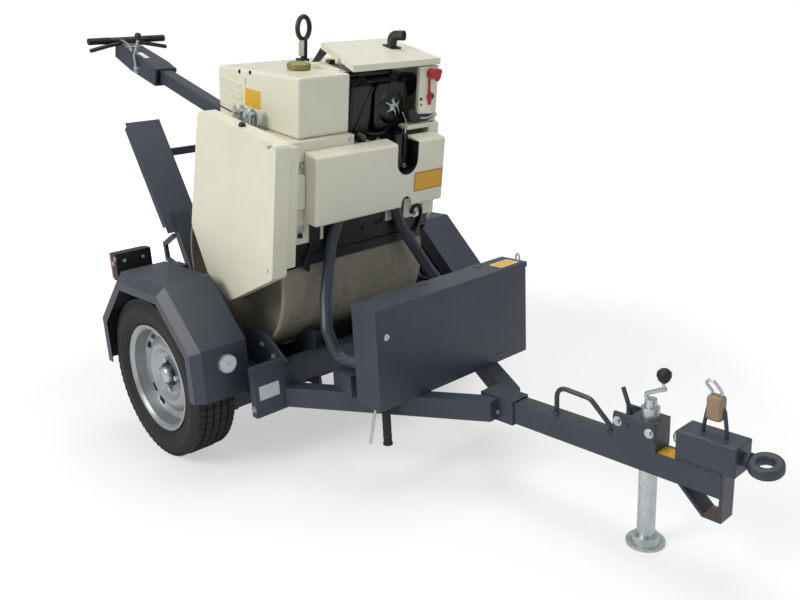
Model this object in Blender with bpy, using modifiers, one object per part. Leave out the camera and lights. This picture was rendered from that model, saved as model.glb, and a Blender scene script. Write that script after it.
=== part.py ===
"""Walk-behind drum roller standing on its two-wheel road trailer, as a Blender model.

Run with: blender --background --python part.py
Metres. +X points forward to the tow eye, +Y to the left, +Z up, and the floor is at Z = 0.
Trailer sizes are measured from the point on the floor under the wheel axle (the axle datum).
Roller sizes are measured from the drum's centre, in the roller's own tilted frame (the roller datum).
Handle sizes run along the handle from its pivot (the handle datum).
"""
import math

import bmesh
import bpy
from mathutils import Matrix, Vector

# Fits between pieces
SEAT = 0.0003          # gap left where one piece touches or carries another
RUNNING_GAP = 0.006    # gap round a piece that turns

# Wheels
TYRE_RADIUS = 0.275
TYRE_WIDTH = 0.155
WHEEL_Y = 0.558        # middle of the tyre
RIM_BARREL_RADIUS = 0.170
RIM_FLANGE_RADIUS = 0.184
RIM_WIDTH = 0.114      # between the two flanges
RIM_SHEET = 0.006
RIM_DISH = 0.012       # how far the disc stands out from the middle of the wheel
HUB_CAP_RADIUS = 0.031
HUB_CAP_OUT = 0.040
BRAKE_DRUM_RADIUS = 0.105
BRAKE_DRUM_DEPTH = 0.050
STUB_RADIUS = 0.016
WHEEL_STEPS = 40

# Trailer bed
SIDE_REAR, SIDE_FRONT = -0.300, 0.430
SIDE_INNER, SIDE_OUTER = 0.367, 0.425
SIDE_BOTTOM, SIDE_TOP = 0.225, 0.325
CROSS_WIDTH = 0.060
FRONT_CROSS_TOP = 0.360
REAR_CROSS_X = -0.170
WING_Y = 0.515         # outer end of the plates beside the drawbar arms
WING_TOP = 0.385
WING_THICKNESS = 0.025
SADDLE_Y = 0.235
SADDLE_THICKNESS = 0.010
SADDLE_FRONT, SADDLE_REAR, SADDLE_TOP = 0.385, -0.100, 0.425
GUIDE_THICKNESS = 0.010
GUIDE_TOP = 0.440
AXLE_BEAM_X, AXLE_BEAM_Z, AXLE_BEAM_SIDE = 0.150, 0.185, 0.060
ARM_PLATE_Y = 0.445    # middle of the suspension arms
ARM_PLATE_THICKNESS = 0.026

# Drawbar
BAR_HALF, BAR_HEIGHT, BAR_TOP = 0.030, 0.064, 0.290
BAR_REAR, BAR_FRONT = 0.990, 1.692
FRAME_ARM_WIDTH = 0.050
FRAME_ARM_REAR_Y, FRAME_ARM_FRONT_Y = 0.378, 0.040
SLEEVE_REAR, SLEEVE_FRONT, SLEEVE_WALL = 0.925, 1.047, 0.006
SKID_THICKNESS, SKID_DEPTH = 0.008, 0.062
COUPLING_REAR, COUPLING_FRONT = 1.570, 1.728
COUPLING_HALF, COUPLING_TOP = 0.040, 0.377
EYE_X, EYE_Z = 1.782, 0.337
EYE_OUTER, EYE_BORE, EYE_THICKNESS = 0.042, 0.019, 0.022
GRAB_REAR, GRAB_FRONT, GRAB_TOP, GRAB_ROD = 1.180, 1.362, 0.372, 0.007
STAPLE_REAR, STAPLE_FRONT, STAPLE_TOP, STAPLE_ROD = 1.622, 1.682, 0.455, 0.005

# Jack
JACK_X = 1.476
JACK_RADIUS = 0.024
JACK_TOP = 0.398
JACK_FOOT_RADIUS, JACK_FOOT_THICKNESS = 0.052, 0.008
CLAMP_REAR, CLAMP_FRONT, CLAMP_HALF, CLAMP_HEIGHT = 1.388, 1.514, 0.034, 0.080

# Toolbox
BOX_REAR, BOX_FRONT = 0.697, 0.801
BOX_HALF, BOX_HEIGHT, BOX_WALL = 0.330, 0.306, 0.003
LID_LIP = 0.014

# Fenders: an arch of five flats, each corner cut at 45 degrees
FENDER_X = 0.015
FENDER_HALF, FENDER_TOP, FENDER_CUT, FENDER_BOTTOM = 0.320, 0.625, 0.175, 0.280
FENDER_INNER, FENDER_OUTER = 0.4675, 0.655
FENDER_CHAMFER, FENDER_SHEET, FENDER_SKIRT = 0.027, 0.003, 0.055
LAMP_X, LAMP_DEPTH, LAMP_WIDTH, LAMP_HEIGHT, LAMP_Z = -0.255, 0.055, 0.130, 0.095, 0.620
LAMP_Y = 0.545
REFLECTOR_RADIUS, REFLECTOR_THICKNESS, REFLECTOR_Z = 0.030, 0.010, 0.392

# Loading ramp, folded up behind the drum
RAMP_HINGE_X, RAMP_HINGE_Z = -0.238, 0.300
RAMP_KNEE = (-0.215, 0.530)
RAMP_ELBOW = (-0.285, 0.700)
RAMP_TIP = (-0.490, 1.065)
RAMP_TRACK_Y, RAMP_TRACK_WIDTH, RAMP_ARM_WIDTH = 0.300, 0.135, 0.060
RAMP_SHEET, RAMP_FLANGE = 0.006, 0.024
RAMP_PIN_RADIUS = 0.010

# Hoop between the roller's front and the trailer
HOOP_TUBE = 0.019
HOOP_KNEE_Z, HOOP_TOP_Z = 0.150, 0.262   # in the roller's frame, the top inside the front box
HOOP_MIDDLE, HOOP_BEND = (0.480, 0.555), (0.520, 0.470)
HOOP_FOOT = (0.600, 0.275, 0.372)
HOOP_Y = {"right": (0.148, 0.186, 0.255, 0.290), "left": (0.066, 0.117, 0.196, 0.240)}   # from the top down

# Roller: the drum and its frame sit to the right of the handle's middle
DRUM_X, DRUM_Z = 0.125, 0.607
ROLLER_PITCH = math.radians(8.5)   # nose down on its saddles
DRUM_RADIUS, DRUM_HALF, DRUM_WALL = 0.277, 0.300, 0.012
DRUM_Y = -0.055
DRUM_END = {"right": DRUM_Y - DRUM_HALF, "left": DRUM_Y + DRUM_HALF}   # where its two rims lie
DRUM_END_RECESS, DRUM_BORE = 0.045, 0.035
SIDE_PLATE_THICKNESS = 0.010
COVER_OUTER = {"right": DRUM_END["right"] - 0.070, "left": DRUM_END["left"] + 0.037}
COVER_RETURN_REAR, COVER_RETURN_INNER = 0.285, DRUM_END["right"] + 0.019
HOOD_REAR, HOOD_FRONT, HOOD_TOP = -0.170, 0.280, 0.484
HOOD_RIM = 0.002                   # how far the hood stands out past the drum's ends
HOOD_BOTTOM = DRUM_RADIUS + 0.008
CHEEK_BOTTOM = 0.167
CHEEK_INNER = {"right": DRUM_END["right"] + 0.150, "left": DRUM_END["left"] - 0.017}
TANK_RIGHT, TANK_INNER, TANK_LEFT = -0.285, -0.090, 0.282
TANK_FRONT, TANK_REAR_TOP, TANK_FRONT_TOP = 0.255, 0.639, 0.665
BAY_REAR, BAY_LEFT, BAY_FLOOR = 0.030, DRUM_END["left"] - 0.010, 0.340
NOSE_FRONT, NOSE_RIGHT, NOSE_LEFT = 0.344, -0.285, 0.256
NOSE_BOTTOM, NOSE_FRONT_TOP, NOSE_REAR_TOP = 0.235, 0.448, 0.457
NOSE_SHEET, NOSE_ROOM_TOP = 0.006, 0.300
SLOT_Y, SLOT_HALF, SLOT_BOTTOM = 0.0855, 0.0455, 0.344
ARCH_Y, ARCH_HALF, ARCH_TOP = 0.088, 0.021, 0.271
BEAM_REAR, BEAM_FRONT, BEAM_BOTTOM = 0.264, 0.276, 0.125
SCRAPER_X, SCRAPER_BOTTOM, SCRAPER_TOP = 0.269, 0.088, 0.120
SCRAPER_INSET = 0.015              # it stops short of the drum's ends
SCRAPER_THICKNESS = 0.007
REAR_BEAM_THICKNESS = 0.012
COLUMN_FRONT, COLUMN_RIGHT, COLUMN_LEFT, COLUMN_TOP = 0.262, 0.197, 0.282, 0.664
CANOPY_REAR, CANOPY_FRONT, CANOPY_LEFT = 0.022, 0.268, 0.282
CANOPY_REAR_RIGHT, CANOPY_FRONT_RIGHT = -0.020, -0.090
CANOPY_REAR_Z, CANOPY_FRONT_Z, CANOPY_LIP, CANOPY_SHEET = 0.720, 0.688, 0.016, 0.003
LIFT_X, LIFT_Y, LIFT_HALF_WIDTH, LIFT_HALF_HEIGHT, LIFT_POST = -0.080, -0.013, 0.0245, 0.036, 0.071
LIFT_BAR = 0.008

# Handle
HANDLE_PIVOT = (-0.224, 0.316)     # in the roller's frame
HANDLE_RISE = math.radians(17.8)   # above level, at rest
HANDLE_TUBE = 0.050
CONSOLE_START, CONSOLE_END, CONSOLE_WIDTH, CONSOLE_HEIGHT = 0.819, 1.165, 0.092, 0.078
CONSOLE_TAIL = 0.6                 # the rear end's lower edge, as a share of half the height
GRIP_ROD, GRIP_HALF, GRIP_AT = 0.013, 0.176, 1.135
SIDES = (("right", -1.0), ("left", 1.0))

# Colours of the materials: red, green, blue, roughness, metallic
FINISHES = {
    "anthracite_paint": (0.052, 0.064, 0.080, 0.42, 0.1),
    "cream_paint": (0.720, 0.710, 0.620, 0.35, 0.0),
    "drum_steel": (0.200, 0.190, 0.165, 0.50, 0.8),
    "zinc_plate": (0.480, 0.500, 0.520, 0.35, 0.9),
    "silver_paint": (0.520, 0.540, 0.560, 0.35, 0.6),
    "tyre_rubber": (0.020, 0.020, 0.021, 0.80, 0.0),
    "black_plastic": (0.012, 0.012, 0.014, 0.45, 0.0),
    "black_steel": (0.020, 0.022, 0.025, 0.45, 0.4),
    "red_plastic": (0.480, 0.015, 0.012, 0.35, 0.0),
    "lamp_red": (0.350, 0.010, 0.008, 0.20, 0.0),
    "clear_reflector": (0.800, 0.820, 0.840, 0.15, 0.2),
    "brass": (0.330, 0.280, 0.100, 0.40, 0.8),
    "tan_sleeve": (0.230, 0.140, 0.080, 0.65, 0.0),
}


def start_scene():
    for old in list(bpy.data.objects):
        bpy.data.objects.remove(old, do_unlink=True)
    for name in ("drum_roller_on_trailer", "cutters"):
        collection = bpy.data.collections.new(name)
        bpy.context.scene.collection.children.link(collection)
    return bpy.data.collections["drum_roller_on_trailer"], bpy.data.collections["cutters"]


PARTS, CUTTERS = start_scene()


def material(name):
    found = bpy.data.materials.get(name)
    if found:
        return found
    red, green, blue, roughness, metallic = FINISHES[name]
    made = bpy.data.materials.new(name)
    made.use_nodes = True
    shader = made.node_tree.nodes["Principled BSDF"]
    shader.inputs["Base Color"].default_value = (red, green, blue, 1.0)
    shader.inputs["Roughness"].default_value = roughness
    shader.inputs["Metallic"].default_value = metallic
    made.diffuse_color = (red, green, blue, 1.0)
    return made


def datum(name, location, rotation=(0.0, 0.0, 0.0), parent=None):
    empty = bpy.data.objects.new(name, None)
    empty.location = location
    empty.rotation_euler = rotation
    empty.parent = parent
    PARTS.objects.link(empty)
    bpy.context.view_layer.update()
    return empty


def add_object(name, data, parent, location=(0.0, 0.0, 0.0), rotation=(0.0, 0.0, 0.0)):
    made = bpy.data.objects.new(name, data)
    made.parent = parent
    made.location = location
    made.rotation_euler = rotation
    PARTS.objects.link(made)
    bpy.context.view_layer.update()
    return made


# Basic solids

def box(name, parent, x, y, z):
    """A box between two X, two Y and two Z values of its parent's frame."""
    mesh = bpy.data.meshes.new(name)
    shape = bmesh.new()
    size = Matrix.Diagonal((x[1] - x[0], y[1] - y[0], z[1] - z[0], 1.0))
    bmesh.ops.create_cube(shape, size=1.0, matrix=size)
    shape.to_mesh(mesh)
    shape.free()
    middle = ((x[0] + x[1]) / 2, (y[0] + y[1]) / 2, (z[0] + z[1]) / 2)
    return add_object(name, mesh, parent, middle)


def rod(name, parent, start, end, radius, segments=16):
    """A round bar between two points."""
    start, end = Vector(start), Vector(end)
    mesh = bpy.data.meshes.new(name)
    shape = bmesh.new()
    bmesh.ops.create_cone(shape, cap_ends=True, segments=segments, radius1=radius, radius2=radius,
                          depth=(end - start).length)
    shape.to_mesh(mesh)
    shape.free()
    mesh.shade_smooth()
    mesh.set_sharp_from_angle(angle=math.radians(40))
    turn = (end - start).to_track_quat("Z", "Y").to_euler()
    return add_object(name, mesh, parent, (start + end) / 2, turn)


def as_mesh(source):
    """Turn a curve object into a welded mesh object at the same place."""
    bpy.context.view_layer.update()
    graph = bpy.context.evaluated_depsgraph_get()
    mesh = bpy.data.meshes.new_from_object(source.evaluated_get(graph))
    shape = bmesh.new()
    shape.from_mesh(mesh)
    bmesh.ops.remove_doubles(shape, verts=shape.verts, dist=0.00002)
    shape.to_mesh(mesh)
    shape.free()
    name, parent = source.name, source.parent
    location, rotation = source.location.copy(), source.rotation_euler.copy()
    bpy.data.objects.remove(source, do_unlink=True)
    mesh.shade_smooth()
    mesh.set_sharp_from_angle(angle=math.radians(40))
    return add_object(name, mesh, parent, location, rotation)


def plate(name, parent, outline, y):
    """A flat outline in the X-Z plane, as thick as the span between the two Y values."""
    curve = bpy.data.curves.new(name, "CURVE")
    curve.dimensions = "2D"
    curve.fill_mode = "BOTH"
    curve.extrude = (y[1] - y[0]) / 2
    line = curve.splines.new("POLY")
    line.points.add(len(outline) - 1)
    for point, (along, up) in zip(line.points, outline):
        point.co = (along, up, 0.0, 1.0)
    line.use_cyclic_u = True
    flat = add_object(name, curve, parent, (0.0, (y[0] + y[1]) / 2, 0.0), (math.pi / 2, 0.0, 0.0))
    return as_mesh(flat)


def tube(name, parent, path, radius, resolution=3):
    """A round tube or bar along a list of points."""
    curve = bpy.data.curves.new(name, "CURVE")
    curve.dimensions = "3D"
    curve.bevel_depth = radius
    curve.bevel_resolution = resolution
    curve.use_fill_caps = True
    line = curve.splines.new("POLY")
    line.points.add(len(path) - 1)
    for point, place in zip(line.points, path):
        point.co = (*place, 1.0)
    return as_mesh(add_object(name, curve, parent))


def ring(name, parent, path, radius):
    """A round bar along a closed list of points."""
    curve = bpy.data.curves.new(name, "CURVE")
    curve.dimensions = "3D"
    curve.bevel_depth = radius
    curve.bevel_resolution = 2
    line = curve.splines.new("POLY")
    line.points.add(len(path) - 1)
    for point, place in zip(line.points, path):
        point.co = (*place, 1.0)
    line.use_cyclic_u = True
    return as_mesh(add_object(name, curve, parent))


def turned(name, parent, profile, location, axis="Y", steps=WHEEL_STEPS, closed=True):
    """A solid of revolution. The profile is (radius, height) from the top down its outer side."""
    mesh = bpy.data.meshes.new(name)
    shape = bmesh.new()
    corners = [shape.verts.new((radius, 0.0, height)) for radius, height in profile]
    for first, second in zip(corners, corners[1:]):
        shape.edges.new((first, second))
    if closed:
        shape.edges.new((corners[-1], corners[0]))
    shape.to_mesh(mesh)
    shape.free()
    turn = {"Y": (-math.pi / 2, 0.0, 0.0), "Z": (0.0, 0.0, 0.0), "X": (0.0, math.pi / 2, 0.0)}[axis]
    made = add_object(name, mesh, parent, location, turn)
    screw = made.modifiers.new("turn", "SCREW")
    screw.axis = "Z"
    screw.steps = steps
    screw.render_steps = steps
    screw.use_merge_vertices = True
    screw.merge_threshold = 0.00002
    screw.use_smooth_shade = True
    return made


def loft(name, parent, sections):
    """A solid through sections that have the same number of points, closed at both ends."""
    mesh = bpy.data.meshes.new(name)
    shape = bmesh.new()
    rings = [[shape.verts.new(point) for point in section] for section in sections]
    count = len(rings[0])
    for lower, upper in zip(rings, rings[1:]):
        for index in range(count):
            following = (index + 1) % count
            shape.faces.new((lower[index], lower[following], upper[following], upper[index]))
    shape.faces.new(list(reversed(rings[0])))
    shape.faces.new(rings[-1])
    bmesh.ops.recalc_face_normals(shape, faces=shape.faces)
    shape.to_mesh(mesh)
    shape.free()
    return add_object(name, mesh, parent)


# Joining, cutting and edges

def hide_tool(tool):
    PARTS.objects.unlink(tool)
    CUTTERS.objects.link(tool)
    tool.hide_render = True
    tool.display_type = "WIRE"


def combine(target, tools, operation):
    for tool in tools:
        step = target.modifiers.new(operation.lower(), "BOOLEAN")
        step.operation = operation
        step.solver = "EXACT"
        step.object = tool
        hide_tool(tool)
    return target


def fuse(target, tools):
    return combine(target, tools, "UNION")


def cut(target, tools):
    return combine(target, tools, "DIFFERENCE")


def soften(target, width, segments=2, angle=50):
    """Round the edges that are sharper than the angle."""
    edge = target.modifiers.new("soften", "BEVEL")
    edge.width = width
    edge.segments = segments
    edge.limit_method = "ANGLE"
    edge.angle_limit = math.radians(angle)
    return target


def paint(target, finish):
    target.data.materials.clear()
    target.data.materials.append(material(finish))
    return target


def rounded(corners, radius, steps=4):
    """An outline with each corner replaced by an arc."""
    outline = []
    for index, corner in enumerate(corners):
        here = Vector(corner)
        before = Vector(corners[index - 1]) - here
        after = Vector(corners[(index + 1) % len(corners)]) - here
        half = before.angle(after) / 2
        reach = min(radius / math.tan(half), before.length * 0.45, after.length * 0.45)
        size = reach * math.tan(half)
        middle = here + (before.normalized() + after.normalized()).normalized() * size / math.sin(half)
        first = here + before.normalized() * reach - middle
        last = here + after.normalized() * reach - middle
        sweep = math.atan2(first.x * last.y - first.y * last.x, first.dot(last))
        for step in range(steps + 1):
            turn = sweep * step / steps
            outline.append((middle.x + first.x * math.cos(turn) - first.y * math.sin(turn),
                            middle.y + first.x * math.sin(turn) + first.y * math.cos(turn)))
    return outline


def bent(path, radius, steps=5):
    """A 3-D path with each inner corner replaced by an arc."""
    points = [Vector(path[0])]
    for before, here, after in zip(path, path[1:], path[2:]):
        corner = Vector(here)
        back = (Vector(before) - corner)
        ahead = (Vector(after) - corner)
        half = back.angle(ahead) / 2
        reach = min(radius / math.tan(half), back.length * 0.45, ahead.length * 0.45)
        size = reach * math.tan(half)
        toward = (back.normalized() + ahead.normalized()).normalized()
        middle = corner + toward * size / math.sin(half)
        first = corner + back.normalized() * reach - middle
        sweep = math.pi - 2 * half
        side = (corner + ahead.normalized() * reach - middle) - first * math.cos(sweep)
        side = side.normalized() * first.length
        for step in range(steps + 1):
            turn = sweep * step / steps
            points.append(middle + first * math.cos(turn) + side * math.sin(turn))
    points.append(Vector(path[-1]))
    return points


def bar_outline(path, thickness):
    """The outline of a flat bar bent along a path in the X-Z plane, path on its middle."""
    left, right = [], []
    for index, point in enumerate(path):
        here = Vector(point)
        before = (here - Vector(path[index - 1])).normalized() if index else None
        after = (Vector(path[index + 1]) - here).normalized() if index + 1 < len(path) else None
        first, last = before or after, after or before
        way = (first + last).normalized()
        wide = thickness / 2 / way.dot(first)
        across = Vector((-way.y, way.x)) * wide
        left.append(tuple(here + across))
        right.append(tuple(here - across))
    return left + right[::-1]


# Datums: the roller sits on its saddles nose down, and the handle leaves it at its own rise

def roller_to_trailer(along, up):
    """A point of the roller's X-Z plane, in the trailer's frame."""
    cosine, sine = math.cos(ROLLER_PITCH), math.sin(ROLLER_PITCH)
    return (DRUM_X + along * cosine + up * sine, DRUM_Z - along * sine + up * cosine)


HANDLE_X, HANDLE_Z = roller_to_trailer(*HANDLE_PIVOT)
HANDLE_REAR = (HANDLE_X - CONSOLE_END * math.cos(HANDLE_RISE)
               - CONSOLE_TAIL * CONSOLE_HEIGHT / 2 * math.sin(HANDLE_RISE))
AXLE_X = -(HANDLE_REAR + EYE_X + EYE_OUTER) / 2    # puts the origin under the middle of the length

TRAILER = datum("axle_datum", (AXLE_X, 0.0, 0.0))
ROLLER = datum("roller_datum", (DRUM_X, 0.0, DRUM_Z), (0.0, ROLLER_PITCH, 0.0), TRAILER)
HANDLE = datum("handle_datum", (HANDLE_X, 0.0, HANDLE_Z), (0.0, -HANDLE_RISE, math.pi), TRAILER)


# Wheels

def wheel(side, sign):
    """Tyre, rim and hub of one wheel, each with its origin at the wheel's middle."""
    centre = (0.0, sign * WHEEL_Y, TYRE_RADIUS)
    bead = RIM_WIDTH / 2 - SEAT
    seat = RIM_BARREL_RADIUS + SEAT
    half = TYRE_WIDTH / 2
    crown = [(TYRE_RADIUS - 0.006, half - 0.018), (TYRE_RADIUS - 0.001, half - 0.032),
             (TYRE_RADIUS, 0.0), (TYRE_RADIUS - 0.001, -half + 0.032),
             (TYRE_RADIUS - 0.006, -half + 0.018)]
    wall = [(RIM_FLANGE_RADIUS + 0.0015, bead), (RIM_FLANGE_RADIUS + 0.014, half - 0.008),
            (RIM_FLANGE_RADIUS + 0.044, half), (TYRE_RADIUS - 0.024, half - 0.004)]
    far_wall = [(radius, -height) for radius, height in reversed(wall)]
    tyre = turned("tyre_" + side, TRAILER, [(seat, bead)] + wall + crown + far_wall + [(seat, -bead)],
                  centre)
    paint(tyre, "tyre_rubber")

    inside = RIM_WIDTH / 2
    edge = inside + RIM_SHEET
    barrel = RIM_BARREL_RADIUS - RIM_SHEET
    out = RIM_DISH * sign
    back = out - RIM_SHEET
    disc_edge, disc_bulge, disc_bolt, bore = barrel, 0.120, 0.075, HUB_CAP_RADIUS + SEAT
    profile = [(RIM_FLANGE_RADIUS, edge), (RIM_FLANGE_RADIUS, inside + 0.0015),
               (RIM_BARREL_RADIUS, inside), (RIM_BARREL_RADIUS, -inside),
               (RIM_FLANGE_RADIUS, -inside - 0.0015), (RIM_FLANGE_RADIUS, -edge),
               (barrel + 0.003, -edge), (barrel, -inside + 0.004)]
    lower = [(disc_edge, -RIM_SHEET), (disc_bulge, 0.010 - RIM_SHEET), (disc_bolt, -RIM_SHEET),
             (bore, -RIM_SHEET)]
    upper = [(bore, 0.0), (disc_bolt, 0.0), (disc_bulge, 0.010), (disc_edge, 0.0)]
    if sign > 0:
        disc = [(r, out + h) for r, h in lower + upper]
    else:
        disc = [(r, out - h) for r, h in reversed(lower + upper)]
    profile += disc + [(barrel, inside - 0.004), (barrel + 0.003, edge)]
    rim = turned("rim_" + side, TRAILER, profile, centre)
    paint(rim, "silver_paint")

    face = sign * RIM_DISH - sign * (RIM_SHEET + SEAT)
    hub_profile = [(0.0, sign * HUB_CAP_OUT), (HUB_CAP_RADIUS - 0.006, sign * HUB_CAP_OUT),
                   (HUB_CAP_RADIUS, sign * (HUB_CAP_OUT - 0.006)), (HUB_CAP_RADIUS, face),
                   (BRAKE_DRUM_RADIUS, face), (BRAKE_DRUM_RADIUS, face - sign * BRAKE_DRUM_DEPTH),
                   (STUB_RADIUS + SEAT, face - sign * BRAKE_DRUM_DEPTH),
                   (STUB_RADIUS + SEAT, face), (0.0, face)]
    if sign < 0:
        hub_profile.reverse()
    hub = turned("hub_" + side, TRAILER, hub_profile, centre, steps=24, closed=False)
    paint(hub, "black_steel")


# Trailer

def saddle_outline():
    """A plate under the drum whose upper edge follows the drum at the running gap."""
    radius = DRUM_RADIUS + RUNNING_GAP
    depth = DRUM_Z - SADDLE_TOP
    start = math.asin(depth / radius)
    steps = 12
    arc = []
    for step in range(steps + 1):
        angle = start + (math.pi - 2 * start) * step / steps
        arc.append((DRUM_X + radius * math.cos(angle), DRUM_Z - radius * math.sin(angle)))
    base = SIDE_BOTTOM + 0.008
    return [(SADDLE_REAR - 0.055, base), (SIDE_FRONT - CROSS_WIDTH / 2, base),
            (SADDLE_FRONT, SADDLE_TOP)] + arc + [(SADDLE_REAR - 0.055, SADDLE_TOP - 0.060)]


def chassis():
    side_x = (SIDE_REAR, SIDE_FRONT)
    frame = box("chassis", TRAILER, side_x, (-SIDE_OUTER, -SIDE_INNER), (SIDE_BOTTOM, SIDE_TOP))
    joined = [box("side_left", TRAILER, side_x, (SIDE_INNER, SIDE_OUTER), (SIDE_BOTTOM, SIDE_TOP))]
    middle = (SIDE_INNER + SIDE_OUTER) / 2
    joined.append(box("front_cross", TRAILER, (SIDE_FRONT - CROSS_WIDTH, SIDE_FRONT - 0.001),
                      (-middle, middle), (BAR_TOP + 0.001, FRONT_CROSS_TOP)))
    joined.append(box("rear_cross", TRAILER,
                      (REAR_CROSS_X - CROSS_WIDTH / 2, REAR_CROSS_X + CROSS_WIDTH / 2),
                      (-middle, middle), (SIDE_BOTTOM + 0.004, BAR_TOP)))
    for side, sign in SIDES:
        wing_y = sorted((sign * middle, sign * WING_Y))
        joined.append(box("wing_" + side, TRAILER, (SIDE_FRONT - WING_THICKNESS, SIDE_FRONT + 0.002),
                          wing_y, (SIDE_BOTTOM - 0.003, WING_TOP)))
        saddle_y = sorted((sign * SADDLE_Y, sign * (SADDLE_Y + SADDLE_THICKNESS)))
        joined.append(plate("saddle_" + side, TRAILER, saddle_outline(), saddle_y))
        guide_y = sorted((sign * (SIDE_INNER + 0.012), sign * (SIDE_INNER + 0.012 + GUIDE_THICKNESS)))
        guide = [(0.200, SIDE_TOP - 0.020), (SIDE_FRONT - 0.004, SIDE_TOP - 0.020),
                 (SIDE_FRONT - 0.004, FRONT_CROSS_TOP + 0.010), (0.330, GUIDE_TOP), (0.200, GUIDE_TOP)]
        joined.append(plate("guide_" + side, TRAILER, guide, guide_y))
        for name, x in (("front", (0.272, 0.322)), ("rear", (-0.296, -0.246))):
            bracket_y = sorted((sign * (SIDE_OUTER - 0.005), sign * (FENDER_INNER - SEAT)))
            joined.append(box("fender_bracket_" + name, TRAILER, x, bracket_y,
                              (SIDE_TOP - 0.040, SIDE_TOP - 0.008)))
        lug_y = sign * RAMP_TRACK_Y
        for edge in (-1, 1):
            near = lug_y + edge * (RAMP_ARM_WIDTH / 2 + SEAT)
            lug = [(REAR_CROSS_X, SIDE_BOTTOM + 0.012), (REAR_CROSS_X, BAR_TOP - 0.006),
                   (RAMP_HINGE_X, RAMP_HINGE_Z + 0.022), (RAMP_HINGE_X - 0.022, RAMP_HINGE_Z),
                   (RAMP_HINGE_X - 0.012, RAMP_HINGE_Z - 0.040)]
            joined.append(plate("ramp_lug", TRAILER, lug, sorted((near, near + edge * 0.010))))
        reach = RAMP_ARM_WIDTH / 2 + 0.008
        joined.append(rod("ramp_pin", TRAILER, (RAMP_HINGE_X, lug_y - reach, RAMP_HINGE_Z),
                          (RAMP_HINGE_X, lug_y + reach, RAMP_HINGE_Z), RAMP_PIN_RADIUS - SEAT))
    fuse(frame, joined)
    return paint(frame, "anthracite_paint")


def axle():
    """The axle beam under the bed with its two arms and stub axles."""
    half = AXLE_BEAM_SIDE / 2
    end = ARM_PLATE_Y + ARM_PLATE_THICKNESS / 2
    beam = box("axle", TRAILER, (AXLE_BEAM_X - half, AXLE_BEAM_X + half),
               (-ARM_PLATE_Y, ARM_PLATE_Y), (AXLE_BEAM_Z - half, AXLE_BEAM_Z + half))
    joined = []
    for side, sign in SIDES:
        arm = rounded([(-0.036, TYRE_RADIUS + 0.030), (-0.036, TYRE_RADIUS - 0.034),
                       (AXLE_BEAM_X - 0.02, AXLE_BEAM_Z - 0.037),
                       (AXLE_BEAM_X + 0.040, AXLE_BEAM_Z - 0.037),
                       (AXLE_BEAM_X + 0.040, AXLE_BEAM_Z + 0.034), (0.040, TYRE_RADIUS + 0.030)], 0.02)
        y = sorted((sign * (ARM_PLATE_Y - ARM_PLATE_THICKNESS / 2), sign * end))
        joined.append(plate("arm_" + side, TRAILER, arm, y))
        tip = WHEEL_Y + RIM_DISH - RIM_SHEET - 2 * SEAT - 0.001
        joined.append(rod("stub_" + side, TRAILER, (0.0, sign * ARM_PLATE_Y, TYRE_RADIUS),
                          (0.0, sign * tip, TYRE_RADIUS), STUB_RADIUS, 24))
        seat = sorted((sign * (SIDE_INNER + 0.008), sign * (SIDE_OUTER - 0.008)))
        joined.append(box("axle_seat_" + side, TRAILER, (AXLE_BEAM_X - 0.05, AXLE_BEAM_X + 0.05), seat,
                          (AXLE_BEAM_Z + half - 0.004, SIDE_BOTTOM - SEAT)))
    fuse(beam, joined)
    return paint(beam, "anthracite_paint")


def arm_line(x):
    """Y of a drawbar arm's middle at a place along the trailer."""
    share = (x - SIDE_FRONT) / (BAR_REAR - SIDE_FRONT)
    return FRAME_ARM_REAR_Y + (FRAME_ARM_FRONT_Y - FRAME_ARM_REAR_Y) * share


def a_frame():
    """Two arms that meet in the sleeve which holds the drawbar."""
    low, high = BAR_TOP - BAR_HEIGHT, BAR_TOP
    sleeve_half = BAR_HALF + SEAT + SLEEVE_WALL
    sleeve = box("drawbar_arms", TRAILER, (SLEEVE_REAR, SLEEVE_FRONT), (-sleeve_half, sleeve_half),
                 (low - SLEEVE_WALL - SEAT, high + SLEEVE_WALL + SEAT))
    joined = []
    start_x = SIDE_FRONT + 0.002 + SEAT
    for side, sign in SIDES:
        half = FRAME_ARM_WIDTH / 2
        ends = [(start_x, arm_line(start_x)), (BAR_REAR, arm_line(BAR_REAR))]
        sections = []
        for z in (low, high):
            (x0, y0), (x1, y1) = ends
            outline = [(x0, y0 - half * 1.17), (x1, y1 - half * 1.17), (x1, y1 + half * 1.17),
                       (x0, y0 + half * 1.17)]
            sections.append([(x, sign * y, z) for x, y in outline])
        joined.append(loft("arm_" + side, TRAILER, sections))
        foot_x, foot_y, foot_z = HOOP_FOOT
        joined.append(box("hoop_shoe_" + side, TRAILER, (foot_x - 0.045, foot_x + 0.040),
                          sorted((sign * (foot_y - 0.030), sign * (foot_y + 0.030))),
                          (high - 0.010, foot_z - HOOP_TUBE - SEAT)))
    bore = box("sleeve_bore", TRAILER, (BAR_REAR - SEAT, SLEEVE_FRONT + 0.01),
               (-BAR_HALF - SEAT, BAR_HALF + SEAT), (low - SEAT, high + SEAT))
    fuse(sleeve, joined)
    cut(sleeve, [bore])
    return paint(sleeve, "anthracite_paint")


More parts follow.
